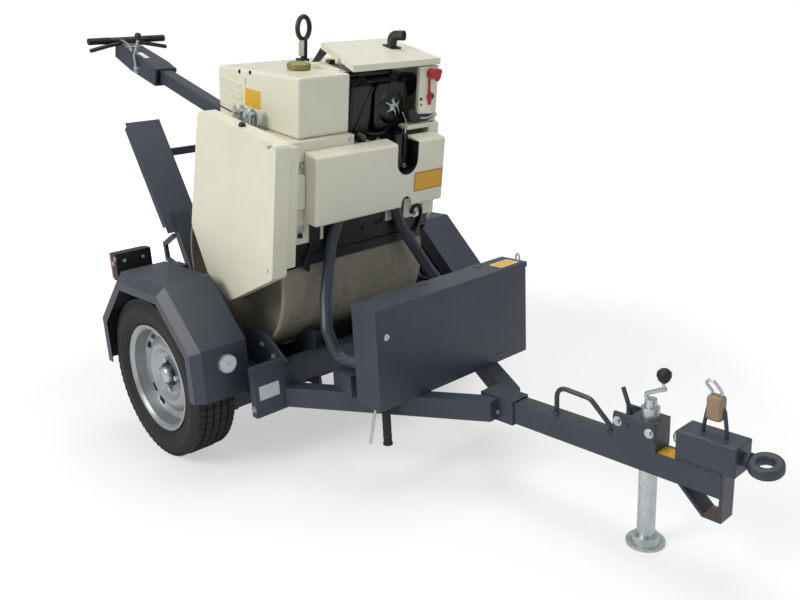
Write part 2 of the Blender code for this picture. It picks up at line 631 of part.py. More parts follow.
def drawbar():
    low = BAR_TOP - BAR_HEIGHT
    bar = box("drawbar", TRAILER, (BAR_REAR, BAR_FRONT - 0.002), (-BAR_HALF, BAR_HALF), (low, BAR_TOP))
    skid_bottom = low - SKID_DEPTH
    path = [(BAR_FRONT - 0.112, low + 0.002), (BAR_FRONT - 0.045, skid_bottom),
            (BAR_FRONT, skid_bottom), (BAR_FRONT, BAR_TOP + 0.004)]
    skid = plate("skid", TRAILER, bar_outline([Vector(p) for p in path], SKID_THICKNESS),
                 (-BAR_HALF + 0.001, BAR_HALF - 0.001))
    fuse(bar, [skid])
    hole = rod("jack_hole", TRAILER, (JACK_X, 0.0, low - 0.02), (JACK_X, 0.0, BAR_TOP + 0.02),
               JACK_RADIUS + SEAT, 32)
    cut(bar, [hole])
    return paint(bar, "anthracite_paint")


def coupling():
    body = box("coupling_box", TRAILER, (COUPLING_REAR, COUPLING_FRONT), (-COUPLING_HALF, COUPLING_HALF),
               (BAR_TOP + 0.004 + SKID_THICKNESS / 2, COUPLING_TOP))
    soften(body, 0.004)
    tongue = box("coupling_foot", TRAILER, (COUPLING_REAR, BAR_FRONT - 0.030),
                 (-BAR_HALF, BAR_HALF), (BAR_TOP + SEAT, COUPLING_TOP - 0.03))
    fuse(body, [tongue])
    return paint(body, "anthracite_paint")


def tow_eye():
    half = EYE_THICKNESS / 2
    ring = turned("tow_eye", TRAILER,
                  rounded([(EYE_BORE, half), (EYE_OUTER, half), (EYE_OUTER, -half), (EYE_BORE, -half)],
                          0.007, 2), (EYE_X, 0.0, EYE_Z), "Z", 24)
    shank = rod("eye_shank", TRAILER, (COUPLING_FRONT + SEAT, 0.0, EYE_Z),
                (EYE_X - EYE_BORE - 0.006, 0.0, EYE_Z), 0.014, 6)
    fuse(ring, [shank])
    return paint(ring, "black_steel")


def grab_handle():
    base = BAR_TOP + SEAT
    path = bent([(GRAB_REAR, 0.0, base), (GRAB_REAR, 0.0, GRAB_TOP),
                 (GRAB_FRONT - 0.070, 0.0, GRAB_TOP - 0.006), (GRAB_FRONT, 0.0, base + 0.012),
                 (GRAB_FRONT, 0.0, base)], 0.03)
    handle = tube("grab_handle", TRAILER, path, GRAB_ROD)
    return paint(handle, "anthracite_paint")


def safety_loop():
    base = COUPLING_TOP + SEAT
    path = bent([(STAPLE_REAR, 0.0, base), (STAPLE_REAR, 0.0, base + 0.012),
                 (STAPLE_REAR + 0.010, 0.0, STAPLE_TOP), (STAPLE_FRONT - 0.010, 0.0, STAPLE_TOP),
                 (STAPLE_FRONT, 0.0, base + 0.012), (STAPLE_FRONT, 0.0, base)], 0.018, 3)
    staple = tube("safety_staple", TRAILER, path, STAPLE_ROD)
    paint(staple, "black_steel")
    middle = (STAPLE_REAR + STAPLE_FRONT) / 2
    sleeve = box("lock_body", TRAILER, (middle - 0.022, middle + 0.020), (-0.016, 0.016),
                 (STAPLE_TOP - 0.040, STAPLE_TOP + 0.026))
    soften(sleeve, 0.010, 3)
    paint(sleeve, "tan_sleeve")
    cut(sleeve, [tube("staple_way", TRAILER, path, STAPLE_ROD + SEAT)])
    shackle = STAPLE_TOP + 0.026 + SEAT
    ring = tube("lock_shackle", TRAILER,
                bent([(middle - 0.013, 0.0, shackle), (middle - 0.013, 0.0, shackle + 0.006),
                      (middle - 0.034, 0.0, shackle + 0.026), (middle - 0.014, 0.0, shackle + 0.036),
                      (middle + 0.011, 0.0, shackle + 0.010), (middle + 0.011, 0.0, shackle)], 0.012, 3), 0.004)
    return paint(ring, "zinc_plate")


def jack_clamp():
    base = BAR_TOP + SEAT
    clamp = box("jack_clamp", TRAILER, (CLAMP_REAR, CLAMP_FRONT), (-CLAMP_HALF, CLAMP_HALF),
                (base, base + CLAMP_HEIGHT))
    window = box("clamp_window", TRAILER, (CLAMP_REAR - 0.01, JACK_X - 0.040),
                 (-CLAMP_HALF + 0.008, CLAMP_HALF - 0.008), (base + 0.010, base + CLAMP_HEIGHT + 0.01))
    hole = rod("clamp_bore", TRAILER, (JACK_X, 0.0, base - 0.02),
               (JACK_X, 0.0, base + CLAMP_HEIGHT + 0.02), JACK_RADIUS + SEAT, 32)
    cut(clamp, [window, hole])
    lever = rod("clamp_lever", TRAILER, (CLAMP_REAR + 0.040, 0.0, base + 0.050),
                (CLAMP_REAR + 0.008, -0.004, base + 0.140), 0.006, 12)
    screw = rod("clamp_screw", TRAILER, (CLAMP_REAR + 0.040, -CLAMP_HALF - 0.006, base + 0.050),
                (CLAMP_REAR + 0.040, CLAMP_HALF + 0.006, base + 0.050), 0.009, 12)
    fuse(clamp, [screw, lever])
    return paint(clamp, "anthracite_paint")


def jack():
    """The jack's leg slides in its clamp. Its origin is on its own axis at floor level."""
    leg = rod("jack_leg", TRAILER, (JACK_X, 0.0, 0.004), (JACK_X, 0.0, JACK_TOP), JACK_RADIUS, 32)
    foot = turned("jack_foot", TRAILER,
                  [(0.0, JACK_FOOT_THICKNESS + 0.018), (JACK_RADIUS + 0.010, JACK_FOOT_THICKNESS + 0.018),
                   (JACK_RADIUS + 0.016, JACK_FOOT_THICKNESS), (JACK_FOOT_RADIUS, JACK_FOOT_THICKNESS),
                   (JACK_FOOT_RADIUS, 0.0), (0.0, 0.0)], (JACK_X, 0.0, 0.0), "Z", 32, closed=False)
    fuse(leg, [foot])
    paint(leg, "zinc_plate")
    head = rod("jack_crank", TRAILER, (JACK_X, 0.0, JACK_TOP + SEAT), (JACK_X, 0.0, JACK_TOP + 0.022),
               0.016, 16)
    path = bent([(JACK_X, 0.0, JACK_TOP + 0.012), (JACK_X - 0.020, 0.0, JACK_TOP + 0.030),
                 (JACK_X + 0.040, 0.0, JACK_TOP + 0.060)], 0.01)
    fuse(head, [tube("crank_arm", TRAILER, path, 0.006),
                rod("crank_pin", TRAILER, (JACK_X + 0.034, 0.0, JACK_TOP + 0.052),
                    (JACK_X + 0.034, 0.0, JACK_TOP + 0.075), 0.004, 12)])
    paint(head, "zinc_plate")
    knob = turned("crank_knob", TRAILER,
                  [(0.0, 0.038), (0.010, 0.036), (0.018, 0.028), (0.019, 0.018), (0.014, 0.006),
                   (0.008, 0.0), (0.0, 0.0)],
                  (JACK_X + 0.034, 0.0, JACK_TOP + 0.075 + SEAT), "Z", 24, closed=False)
    return paint(knob, "black_plastic")


def toolbox():
    bottom = BAR_TOP + SEAT
    top = bottom + BOX_HEIGHT
    body = box("toolbox", TRAILER, (BOX_REAR, BOX_FRONT), (-BOX_HALF, BOX_HALF), (bottom, top))
    room = box("toolbox_room", TRAILER, (BOX_REAR + BOX_WALL, BOX_FRONT - BOX_WALL),
               (-BOX_HALF + BOX_WALL, BOX_HALF - BOX_WALL), (bottom + BOX_WALL, top + 0.05))
    cut(body, [room])
    paint(body, "anthracite_paint")
    lip = BOX_WALL
    lid = box("toolbox_lid", TRAILER, (BOX_REAR, BOX_FRONT + SEAT + lip), (-BOX_HALF - SEAT - lip,
              BOX_HALF + SEAT + lip), (top - LID_LIP, top + SEAT + BOX_WALL))
    under = box("lid_room", TRAILER, (BOX_REAR - 0.01, BOX_FRONT + SEAT),
                (-BOX_HALF - SEAT, BOX_HALF + SEAT), (top - LID_LIP - 0.01, top + SEAT))
    cut(lid, [under])
    move_origin(lid, (BOX_REAR, 0.0, top + SEAT + BOX_WALL))
    paint(lid, "anthracite_paint")
    rods = rod("toolbox_prop", TRAILER, (0.752, -0.268, 0.150), (0.752, -0.268, bottom - SEAT), 0.013, 16)
    return paint(rods, "black_plastic")


def move_origin(target, origin):
    """Move an object's origin to a point of its parent's frame and keep its shape in place."""
    shift = Vector(origin) - target.location
    target.data.transform(Matrix.Translation(-shift))
    target.location = origin


def fender_section(inset, y):
    """The arch of five flats, moved in by the inset, from its front foot to its rear foot."""
    lean = inset * (math.sqrt(2.0) - 1.0)
    half = FENDER_HALF - inset
    flat = FENDER_HALF - FENDER_CUT - lean
    knee = FENDER_TOP - FENDER_CUT - lean
    arch = [(half, FENDER_BOTTOM), (half, knee), (flat, FENDER_TOP - inset),
            (-flat, FENDER_TOP - inset), (-half, knee), (-half, FENDER_BOTTOM)]
    return [(FENDER_X + x, y, z) for x, z in arch]


def lowered(section, amount):
    """The same section with its two feet carried further down."""
    return [(x, y, z - (amount if index in (0, len(section) - 1) else 0.0))
            for index, (x, y, z) in enumerate(section)]


def fender(side, sign):
    bend = FENDER_OUTER - FENDER_CHAMFER
    shell = loft("fender_" + side, TRAILER,
                 [fender_section(0.0, sign * FENDER_INNER), fender_section(0.0, sign * bend),
                  fender_section(FENDER_CHAMFER, sign * FENDER_OUTER)])
    sheet = FENDER_SHEET
    room = loft("fender_room", TRAILER,
                [lowered(fender_section(sheet, sign * (FENDER_INNER + sheet)), 0.05),
                 lowered(fender_section(sheet, sign * (bend - sheet * 0.4)), 0.05),
                 lowered(fender_section(FENDER_CHAMFER + sheet * 0.6, sign * (FENDER_OUTER - sheet)), 0.05)])
    skirt = FENDER_SKIRT
    arch = loft("fender_arch", TRAILER,
                [lowered(fender_section(skirt, sign * (FENDER_INNER - 0.02)), 0.05),
                 lowered(fender_section(skirt, sign * (FENDER_OUTER + 0.02)), 0.05)])
    cut(shell, [room, arch])
    return paint(shell, "anthracite_paint")


def rear_lamp(side, sign):
    y = sorted((sign * (LAMP_Y - LAMP_WIDTH / 2), sign * (LAMP_Y + LAMP_WIDTH / 2)))
    z = (LAMP_Z - LAMP_HEIGHT / 2, LAMP_Z + LAMP_HEIGHT / 2)
    body = box("rear_lamp_" + side, TRAILER, (LAMP_X + 0.020, LAMP_X + LAMP_DEPTH), y, z)
    foot_x = LAMP_X + LAMP_DEPTH - 0.010
    slope_z = FENDER_TOP - (abs(foot_x - FENDER_X) - (FENDER_HALF - FENDER_CUT))
    step = 0.004
    foot = plate("lamp_foot", TRAILER,
                 [(foot_x - 0.020, slope_z - 0.020 + 0.0006), (foot_x + step, slope_z + step + 0.0006),
                  (foot_x + step, z[0] + 0.020), (foot_x - 0.020, z[0] + 0.020)],
                 sorted((sign * (LAMP_Y - 0.03), sign * (LAMP_Y + 0.03))))
    fuse(body, [foot])
    paint(body, "black_plastic")
    lens = box("lamp_lens_" + side, TRAILER, (LAMP_X, LAMP_X + 0.020 - SEAT),
               (y[0] + 0.002, y[1] - 0.002), (z[0] + 0.002, z[1] - 0.002))
    soften(lens, 0.004)
    return paint(lens, "lamp_red")


def reflector(side, sign):
    x = FENDER_X + FENDER_HALF + SEAT
    disc = rod("reflector_" + side, TRAILER, (x, sign * LAMP_Y, REFLECTOR_Z),
               (x + REFLECTOR_THICKNESS, sign * LAMP_Y, REFLECTOR_Z), REFLECTOR_RADIUS, 32)
    return paint(disc, "clear_reflector")


def ramp():
    """Two channel tracks on dog-leg arms, joined by two bars, with the origin on the hinge."""
    knee, elbow, tip = Vector(RAMP_KNEE), Vector(RAMP_ELBOW), Vector(RAMP_TIP)
    hinge = Vector((RAMP_HINGE_X, RAMP_HINGE_Z))
    along = (tip - elbow).normalized()
    behind = Vector((-along.y, along.x))
    body = None
    joined = []
    for side, sign in SIDES:
        centre = sign * RAMP_TRACK_Y
        arm_y = (centre - RAMP_ARM_WIDTH / 2, centre + RAMP_ARM_WIDTH / 2)
        arm = plate("ramp" if body is None else "ramp_arm", TRAILER,
                    bar_outline([hinge + Vector((0.0, -0.004)), knee, elbow + along * 0.05], 0.034), arm_y)
        eye = rod("ramp_eye", TRAILER, (RAMP_HINGE_X, arm_y[0] + 0.001, RAMP_HINGE_Z),
                  (RAMP_HINGE_X, arm_y[1] - 0.001, RAMP_HINGE_Z), 0.021, 24)
        track_y = (centre - RAMP_TRACK_WIDTH / 2, centre + RAMP_TRACK_WIDTH / 2)
        joined.append(plate("ramp_track", TRAILER,
                            bar_outline([elbow - along * 0.02, tip], RAMP_SHEET), track_y))
        for edge in (-1, 1):
            flange_y = centre + edge * (RAMP_TRACK_WIDTH / 2 - 0.004)
            middle = behind * (RAMP_FLANGE / 2)
            joined.append(plate("ramp_flange", TRAILER,
                                bar_outline([elbow + along * 0.01 + middle, tip - along * 0.012 + middle],
                                            RAMP_FLANGE),
                                sorted((flange_y - 0.003, flange_y + 0.003))))
        joined.append(eye)
        if body is None:
            body = arm
        else:
            joined.append(arm)
    bar_at = elbow + along * 0.290 + behind * 0.014
    joined.append(box("ramp_bar", TRAILER, (bar_at.x - 0.013, bar_at.x + 0.013),
                      (-RAMP_TRACK_Y, RAMP_TRACK_Y), (bar_at.y - 0.013, bar_at.y + 0.013)))
    fuse(body, joined)
    holes = []
    for side, sign in SIDES:
        reach = RAMP_ARM_WIDTH / 2 + 0.02
        centre = sign * RAMP_TRACK_Y
        holes.append(rod("ramp_bore", TRAILER, (RAMP_HINGE_X, centre - reach, RAMP_HINGE_Z),
                         (RAMP_HINGE_X, centre + reach, RAMP_HINGE_Z), RAMP_PIN_RADIUS, 24))
    cut(body, holes)
    return paint(body, "anthracite_paint")


def ramp_latch():
    """A bracket on the right fender with the bent lever that holds the ramp up."""
    y = (-FENDER_INNER + SEAT, -0.392)
    bracket = box("ramp_latch", TRAILER, (-0.180, -0.110), y, (0.560, 0.600))
    path = [Vector(p) for p in ((-0.150, 0.575), (-0.245, 0.600), (-0.250, 0.655), (-0.175, 0.695))]
    lever = plate("latch_lever", TRAILER, bar_outline(path, 0.016), (-0.402, -0.390))
    fuse(bracket, [lever])
    return paint(bracket, "anthracite_paint")


def hoop():
    """The bent tube that ties the roller's front beam down to the drawbar arms."""
    upright = BEAM_FRONT + SEAT + HOOP_TUBE
    knee_x, knee_z = roller_to_trailer(upright, HOOP_KNEE_Z)
    top_x, top_z = roller_to_trailer(upright, HOOP_TOP_Z)
    foot_x, foot_y, foot_z = HOOP_FOOT
    legs = []
    for side, sign in SIDES:
        top_y, knee_y, middle_y, bend_y = HOOP_Y[side]
        legs.append([(foot_x + 0.035, sign * (foot_y - 0.020), foot_z),
                     (foot_x - 0.040, sign * (foot_y + 0.010), foot_z + 0.016),
                     (HOOP_BEND[0], sign * bend_y, HOOP_BEND[1]),
                     (HOOP_MIDDLE[0], sign * middle_y, HOOP_MIDDLE[1]),
                     (knee_x, sign * knee_y, knee_z), (top_x, sign * top_y, top_z)])
    tie = tube("hoop", TRAILER, bent(legs[0] + legs[1][::-1], 0.060, 4), HOOP_TUBE, 4)
    return paint(tie, "anthracite_paint")


# Roller

def beside(sign, reach):
    """Y of a place beyond one end of the drum by the reach, in the roller's frame."""
    return DRUM_Y + sign * (DRUM_HALF + reach)


def drum():
    inner = DRUM_RADIUS - DRUM_WALL
    end = DRUM_HALF - DRUM_END_RECESS
    half = [(DRUM_RADIUS - 0.003, DRUM_HALF), (DRUM_RADIUS, DRUM_HALF - 0.003)]
    ends = [(inner, end), (DRUM_BORE, end), (DRUM_BORE, end - DRUM_WALL), (inner, end - DRUM_WALL)]
    profile = (half + [(r, -h) for r, h in reversed(half)]
               + [(inner, -DRUM_HALF)] + [(r, -h) for r, h in ends]
               + list(reversed(ends)) + [(inner, DRUM_HALF)])
    shell = turned("drum", TRAILER, profile, (DRUM_X, DRUM_Y, DRUM_Z), "Y", 56)
    paint(shell, "drum_steel")
    reach = RUNNING_GAP - SEAT
    shaft = rod("drum_axle", TRAILER, (DRUM_X, beside(-1, reach), DRUM_Z),
                (DRUM_X, beside(1, reach), DRUM_Z), DRUM_BORE - SEAT, 32)
    return paint(shaft, "black_steel")


def roller_frame():
    """Two side plates beside the drum, tied by the front beam and the rear beam."""
    near, far = RUNNING_GAP, RUNNING_GAP + SIDE_PLATE_THICKNESS
    outline = rounded([(-0.070, -0.065), (0.080, -0.065), (0.272, 0.110), (0.272, 0.300),
                       (0.200, 0.462), (-0.150, 0.462), (-0.160, 0.200)], 0.03)
    frame = plate("roller_frame", ROLLER, outline, (beside(-1, far), beside(-1, near)))
    joined = [plate("frame_left", ROLLER, outline, (beside(1, near), beside(1, far)))]
    beam_y = (beside(-1, near + 0.004), beside(1, near + 0.004))
    joined.append(box("front_beam", ROLLER, (BEAM_REAR, BEAM_FRONT), beam_y,
                      (BEAM_BOTTOM, NOSE_BOTTOM - SEAT)))
    beam_rear = HOOD_REAR - REAR_BEAM_THICKNESS
    joined.append(box("rear_beam", ROLLER, (beam_rear, HOOD_REAR - SEAT), beam_y, (0.270, 0.350)))
    for side, sign in SIDES:
        joined.append(box("beam_end", ROLLER, (beam_rear, -0.140),
                          sorted((beside(sign, HOOD_RIM + SEAT + 0.0002), beside(sign, near + 0.004))),
                          (0.270, 0.350)))
        joined.append(box("scraper_hanger", ROLLER, (SCRAPER_X + 0.004, BEAM_FRONT - 0.0005),
                          sorted((beside(sign, -0.060), beside(sign, -0.045))),
                          (SCRAPER_BOTTOM + 0.004, BEAM_BOTTOM + 0.025)))
        ear_y = sorted((sign * (HANDLE_TUBE / 2 + SEAT), sign * (HANDLE_TUBE / 2 + 0.010)))
        pivot_x, pivot_z = HANDLE_PIVOT
        ear_root = HOOD_REAR - REAR_BEAM_THICKNESS / 2
        ear = rounded([(ear_root, pivot_z - 0.040), (pivot_x - 0.028, pivot_z - 0.028),
                       (pivot_x - 0.028, pivot_z + 0.028), (ear_root, pivot_z + 0.034)], 0.012, 3)
        joined.append(plate("handle_ear", ROLLER, ear, ear_y))
    reach = HANDLE_TUBE / 2 + 0.008
    pivot_x, pivot_z = HANDLE_PIVOT
    joined.append(rod("handle_pin", ROLLER, (pivot_x, -reach, pivot_z), (pivot_x, reach, pivot_z),
                      RAMP_PIN_RADIUS - SEAT))
    joined.append(box("scraper", ROLLER, (SCRAPER_X, SCRAPER_X + SCRAPER_THICKNESS),
                      (beside(-1, -SCRAPER_INSET), beside(1, -SCRAPER_INSET)), (SCRAPER_BOTTOM, SCRAPER_TOP)))
    fuse(frame, joined)
    return paint(frame, "black_steel")


def right_cover():
    """The deep cover beside the drum, with its front edge returned in front of the frame."""
    outer, inner = COVER_OUTER["right"], beside(-1, RUNNING_GAP + SIDE_PLATE_THICKNESS + SEAT)
    outline = rounded([(-0.073, 0.528), (0.338, 0.505), (0.314, 0.090), (0.078, -0.062),
                       (-0.050, -0.006), (-0.140, 0.139)], 0.024)
    cover = plate("side_cover_right", ROLLER, outline, (outer, inner))
    soften(cover, 0.012, 2)
    rear, inset = COVER_RETURN_REAR, 0.004
    edge = [(rear, 0.486), (0.332 - inset, 0.486), (0.314 - inset, 0.112), (rear, 0.112)]
    fuse(cover, [plate("cover_return", ROLLER, edge, (inner - 0.010, COVER_RETURN_INNER))])
    return paint(cover, "cream_paint")


def left_cover():
    """The flat cover on the other side, level with the top and the front of the hood."""
    inner = beside(1, RUNNING_GAP + SIDE_PLATE_THICKNESS + SEAT)
    outline = rounded([(-0.073, HOOD_TOP), (HOOD_FRONT, HOOD_TOP), (HOOD_FRONT, 0.167),
                       (0.078, -0.062), (-0.050, -0.006), (-0.140, 0.139)], 0.010)
    cover = plate("side_cover_left", ROLLER, outline, (inner, COVER_OUTER["left"]))
    soften(cover, 0.004, 2)
    return paint(cover, "cream_paint")


def hood():
    """The sheet body over the drum, between the side plates."""
    y = (beside(-1, HOOD_RIM), beside(1, HOOD_RIM))
    body = box("hood", ROLLER, (HOOD_REAR, HOOD_FRONT), y, (HOOD_BOTTOM, HOOD_TOP))
    cheeks = []
    for side, sign in SIDES:
        outer = beside(sign, RUNNING_GAP + SIDE_PLATE_THICKNESS - SEAT)
        cheek_y = sorted((outer, CHEEK_INNER[side]))
        cheeks.append(box("cheek", ROLLER, (BEAM_FRONT + SEAT, HOOD_FRONT), cheek_y,
                          (CHEEK_BOTTOM, HOOD_TOP - 0.0005)))
    fuse(body, cheeks)
    bay = box("engine_room", ROLLER, (BAY_REAR, HOOD_FRONT + 0.05), (TANK_INNER, BAY_LEFT),
              (BAY_FLOOR, HOOD_TOP + 0.05))
    cut(body, [bay])
    return paint(body, "cream_paint")


def tank_top(x):
    """Height of the sloped top of the tank at a place along the roller."""
    share = (x - HOOD_REAR) / (TANK_FRONT - HOOD_REAR)
    return TANK_REAR_TOP + (TANK_FRONT_TOP - TANK_REAR_TOP) * share


def tank():
    """The water tank beside the engine, with its return behind the engine, as one L in plan."""
    base = HOOD_TOP + SEAT
    plan = [(HOOD_REAR, TANK_RIGHT), (TANK_FRONT, TANK_RIGHT), (TANK_FRONT, TANK_INNER),
            (BAY_REAR, TANK_INNER), (BAY_REAR, TANK_LEFT), (HOOD_REAR, TANK_LEFT)]
    body = loft("water_tank", ROLLER, [[(x, y, base) for x, y in plan],
                                       [(x, y, tank_top(x)) for x, y in plan]])
    soften(body, 0.008, 2)
    paint(body, "cream_paint")
    x, y, radius = 0.092, -0.161, 0.037
    rim = tank_top(x + radius)
    cap = turned("filler_cap", ROLLER,
                 [(0.0, 0.022), (radius - 0.005, 0.022), (radius, 0.018), (radius, 0.0), (0.0, 0.0)],
                 (x, y, rim + SEAT), "Z", 32, closed=False)
    fuse(body, [rod("filler_neck", ROLLER, (x, y, tank_top(x) - 0.020), (x, y, rim), 0.030, 24)])
    return paint(cap, "brass")


def canopy_arms():
    """Two steel arms on the tank that carry the engine lid at its rear edge, and the bar between."""
    top = CANOPY_REAR_Z - CANOPY_LIP - CANOPY_SHEET - SEAT
    foot_front, foot_rear = -0.020, -0.044
    arms = []
    first, last = CANOPY_REAR_RIGHT + 0.020, CANOPY_LEFT - 0.050
    for y in (first, last):
        arm = plate("canopy_arms", ROLLER,
                    [(foot_rear, tank_top(foot_rear) + SEAT), (foot_front, tank_top(foot_front) + SEAT),
                     (CANOPY_REAR + SEAT, top - 0.014), (CANOPY_REAR + SEAT, top), (0.002, top)],
                    (y - 0.006, y + 0.006))
        arms.append(arm)
    arms.append(rod("canopy_hinge_bar", ROLLER, (0.012, first, top - 0.008),
                    (0.012, last, top - 0.008), 0.005, 12))
    fuse(arms[0], arms[1:])
    return paint(arms[0], "black_steel")


def nose():
    """The deep front box under the engine, open below, with its slot and the arch at its foot."""
    rear = HOOD_FRONT + SEAT
    side = [(rear, NOSE_BOTTOM), (NOSE_FRONT, NOSE_BOTTOM), (NOSE_FRONT, NOSE_FRONT_TOP),
            (rear, NOSE_REAR_TOP)]
    body = loft("front_box", ROLLER, [[(x, y, z) for x, z in side] for y in (NOSE_RIGHT, NOSE_LEFT)])
    soften(body, 0.008, 3)
    room = box("nose_room", ROLLER, (HOOD_FRONT - 0.01, NOSE_FRONT - NOSE_SHEET),
               (NOSE_RIGHT + NOSE_SHEET, NOSE_LEFT - NOSE_SHEET), (NOSE_BOTTOM - 0.02, NOSE_ROOM_TOP))
    through = (HOOD_FRONT - 0.02, NOSE_FRONT + 0.02)
    slot_z, arch_z = SLOT_BOTTOM + SLOT_HALF, ARCH_TOP - ARCH_HALF
    slot = box("front_slot", ROLLER, through, (SLOT_Y - SLOT_HALF, SLOT_Y + SLOT_HALF),
               (slot_z, NOSE_REAR_TOP + 0.05))
    slot_end = rod("slot_end", ROLLER, (through[0], SLOT_Y, slot_z), (through[1], SLOT_Y, slot_z),
                   SLOT_HALF, 32)
    arch = rod("front_arch", ROLLER, (through[0], ARCH_Y, arch_z), (through[1], ARCH_Y, arch_z),
               ARCH_HALF, 24)
    arch_foot = box("arch_foot", ROLLER, through, (ARCH_Y - ARCH_HALF, ARCH_Y + ARCH_HALF),
                    (NOSE_BOTTOM - 0.02, arch_z))
    cut(body, [room, slot, slot_end, arch, arch_foot])
    return paint(body, "cream_paint")


def lifting_eye():
    base = tank_top(LIFT_X) + 0.0015 + SEAT
    middle = base + LIFT_POST + LIFT_HALF_HEIGHT
    path = [(LIFT_X, LIFT_Y + LIFT_HALF_WIDTH * math.sin(2 * math.pi * step / 24),
             middle - LIFT_HALF_HEIGHT * math.cos(2 * math.pi * step / 24)) for step in range(24)]
    loop = ring("lifting_eye", ROLLER, path, LIFT_BAR)
    post = box("eye_post", ROLLER, (LIFT_X - 0.006, LIFT_X + 0.006), (LIFT_Y - 0.006, LIFT_Y + 0.012),
               (base, base + LIFT_POST))
    foot = box("eye_foot", ROLLER, (LIFT_X - 0.014, LIFT_X + 0.014), (LIFT_Y - 0.020, LIFT_Y + 0.014),
               (base, base + 0.010))
    fuse(loop, [post, foot])
    return paint(loop, "black_steel")


def engine():
    """The engine between tank and column: one block, its cowl, its air cleaner and its starter."""
    floor = BAY_FLOOR + SEAT
    block = box("engine_block", ROLLER, (0.050, 0.190), (-0.060, 0.178), (floor, 0.628))
    soften(block, 0.016, 3)
    fuse(block, [box("engine_pan", ROLLER, (0.036, HOOD_FRONT - 0.004),
                     (TANK_INNER + 0.006, BAY_LEFT - 0.006), (floor, floor + 0.010))])
    paint(block, "black_steel")
    cowl_x = 0.190 + SEAT
    cowl = loft("engine_cowl", ROLLER, [
        [(x, -0.062, z) for x, z in ((cowl_x, 0.440), (0.214, 0.440), (0.226, 0.610), (cowl_x, 0.634))],
        [(x, 0.020, z) for x, z in ((cowl_x, 0.440), (0.226, 0.440), (0.240, 0.616), (cowl_x, 0.640))]])
    soften(cowl, 0.010, 3)
    paint(cowl, "black_plastic")
    starter = turned("starter_cowl", ROLLER,
                     [(0.0, 0.046), (0.044, 0.046), (0.060, 0.040), (0.074, 0.026), (0.082, 0.006),
                      (0.082, 0.0), (0.0, 0.0)], (cowl_x, 0.107, 0.540), "X", 32, closed=False)
    paint(starter, "black_plastic")
    cleaner = rod("air_cleaner", ROLLER, (0.100, 0.2145, 0.598), (0.204, 0.2145, 0.598), 0.036, 28)
    mount = box("cleaner_mount", ROLLER, (0.110, 0.170), (0.178 + SEAT, 0.200), (0.570, 0.600))
    soften(cleaner, 0.006, 2, 40)
    fuse(cleaner, [mount])
    return paint(cleaner, "black_plastic")


def column():
    """The sheet column on the engine's left that carries the battery switch."""
    base = HOOD_TOP + SEAT
    wall = 0.012
    front = box("control_column", ROLLER, (COLUMN_FRONT - wall, COLUMN_FRONT), (COLUMN_RIGHT, COLUMN_LEFT),
                (base, COLUMN_TOP))
    side = box("column_side", ROLLER, (BAY_REAR + SEAT, COLUMN_FRONT - 0.001),
               (COLUMN_LEFT - wall, COLUMN_LEFT), (base, COLUMN_TOP))
    fuse(front, [side])
    paint(front, "cream_paint")
    switch = rod("battery_switch", ROLLER, (COLUMN_FRONT + SEAT, 0.245, 0.640),
                 (COLUMN_FRONT + 0.022, 0.245, 0.640), 0.017, 16)
    key = box("switch_key", ROLLER, (COLUMN_FRONT + 0.018, COLUMN_FRONT + 0.026), (0.236, 0.256),
              (0.566, 0.656))
    fuse(switch, [key])
    return paint(switch, "red_plastic")


def canopy():
    """The engine lid: a shallow tray, higher at its hinged rear edge, with the exhaust elbow."""
    rear, front, left = CANOPY_REAR, CANOPY_FRONT, CANOPY_LEFT
    deep = CANOPY_LIP + CANOPY_SHEET

    def slab(name, grow, up, down):
        ends = []
        for x, right, z in ((rear - grow, CANOPY_REAR_RIGHT, CANOPY_REAR_Z),
                            (front + grow, CANOPY_FRONT_RIGHT, CANOPY_FRONT_Z)):
            ends.append([(x, right - grow, z - down), (x, left + grow, z - down),
                         (x, left + grow, z + up), (x, right - grow, z + up)])
        return loft(name, ROLLER, ends)

    lid = slab("canopy", 0.0, 0.0, deep)
    room = slab("canopy_room", -CANOPY_SHEET, -CANOPY_SHEET, deep + 0.01)
    cut(lid, [room])
    move_origin(lid, (rear, 0.0, CANOPY_REAR_Z - deep))
    paint(lid, "cream_paint")
    slope = (CANOPY_REAR_Z - CANOPY_FRONT_Z) / (front - rear)
    x, y, reach = 0.120, 0.200, 0.023
    z = CANOPY_REAR_Z - slope * (x - rear) + SEAT
    rise, sheet = slope * reach, 0.004
    path = bent([(x, y, z + 0.0025), (x, y, z + 0.037), (x + 0.040, y + 0.016, z + 0.041)], 0.034, 6)
    elbow = tube("exhaust_elbow", ROLLER, path, 0.0165, 4)
    flange = plate("exhaust_flange", ROLLER, [(x - reach, z + rise), (x + reach, z - rise),
                                              (x + reach, z - rise + sheet), (x - reach, z + rise + sheet)],
                   (y - reach + 0.002, y + reach - 0.002))
    fuse(elbow, [flange])
    return paint(elbow, "black_steel")


def tow_hook():
    """The bent strap hook round its bolt on the front beam, beside the arch of the front box."""
    radius = 0.0065
    x = BEAM_FRONT + SEAT + radius
    bolt_y = DRUM_END["left"] - 0.069
    path = [(x, bolt_y + y, z) for y, z in ((0.0, 0.180), (0.002, 0.194), (0.012, 0.204), (0.026, 0.206),
                                            (0.038, 0.200), (0.044, 0.186), (0.044, 0.160), (0.034, 0.132),
                                            (0.020, 0.112))]
    hook = tube("tow_hook", ROLLER, path, radius, 2)
    return paint(hook, "black_steel")


# Handle

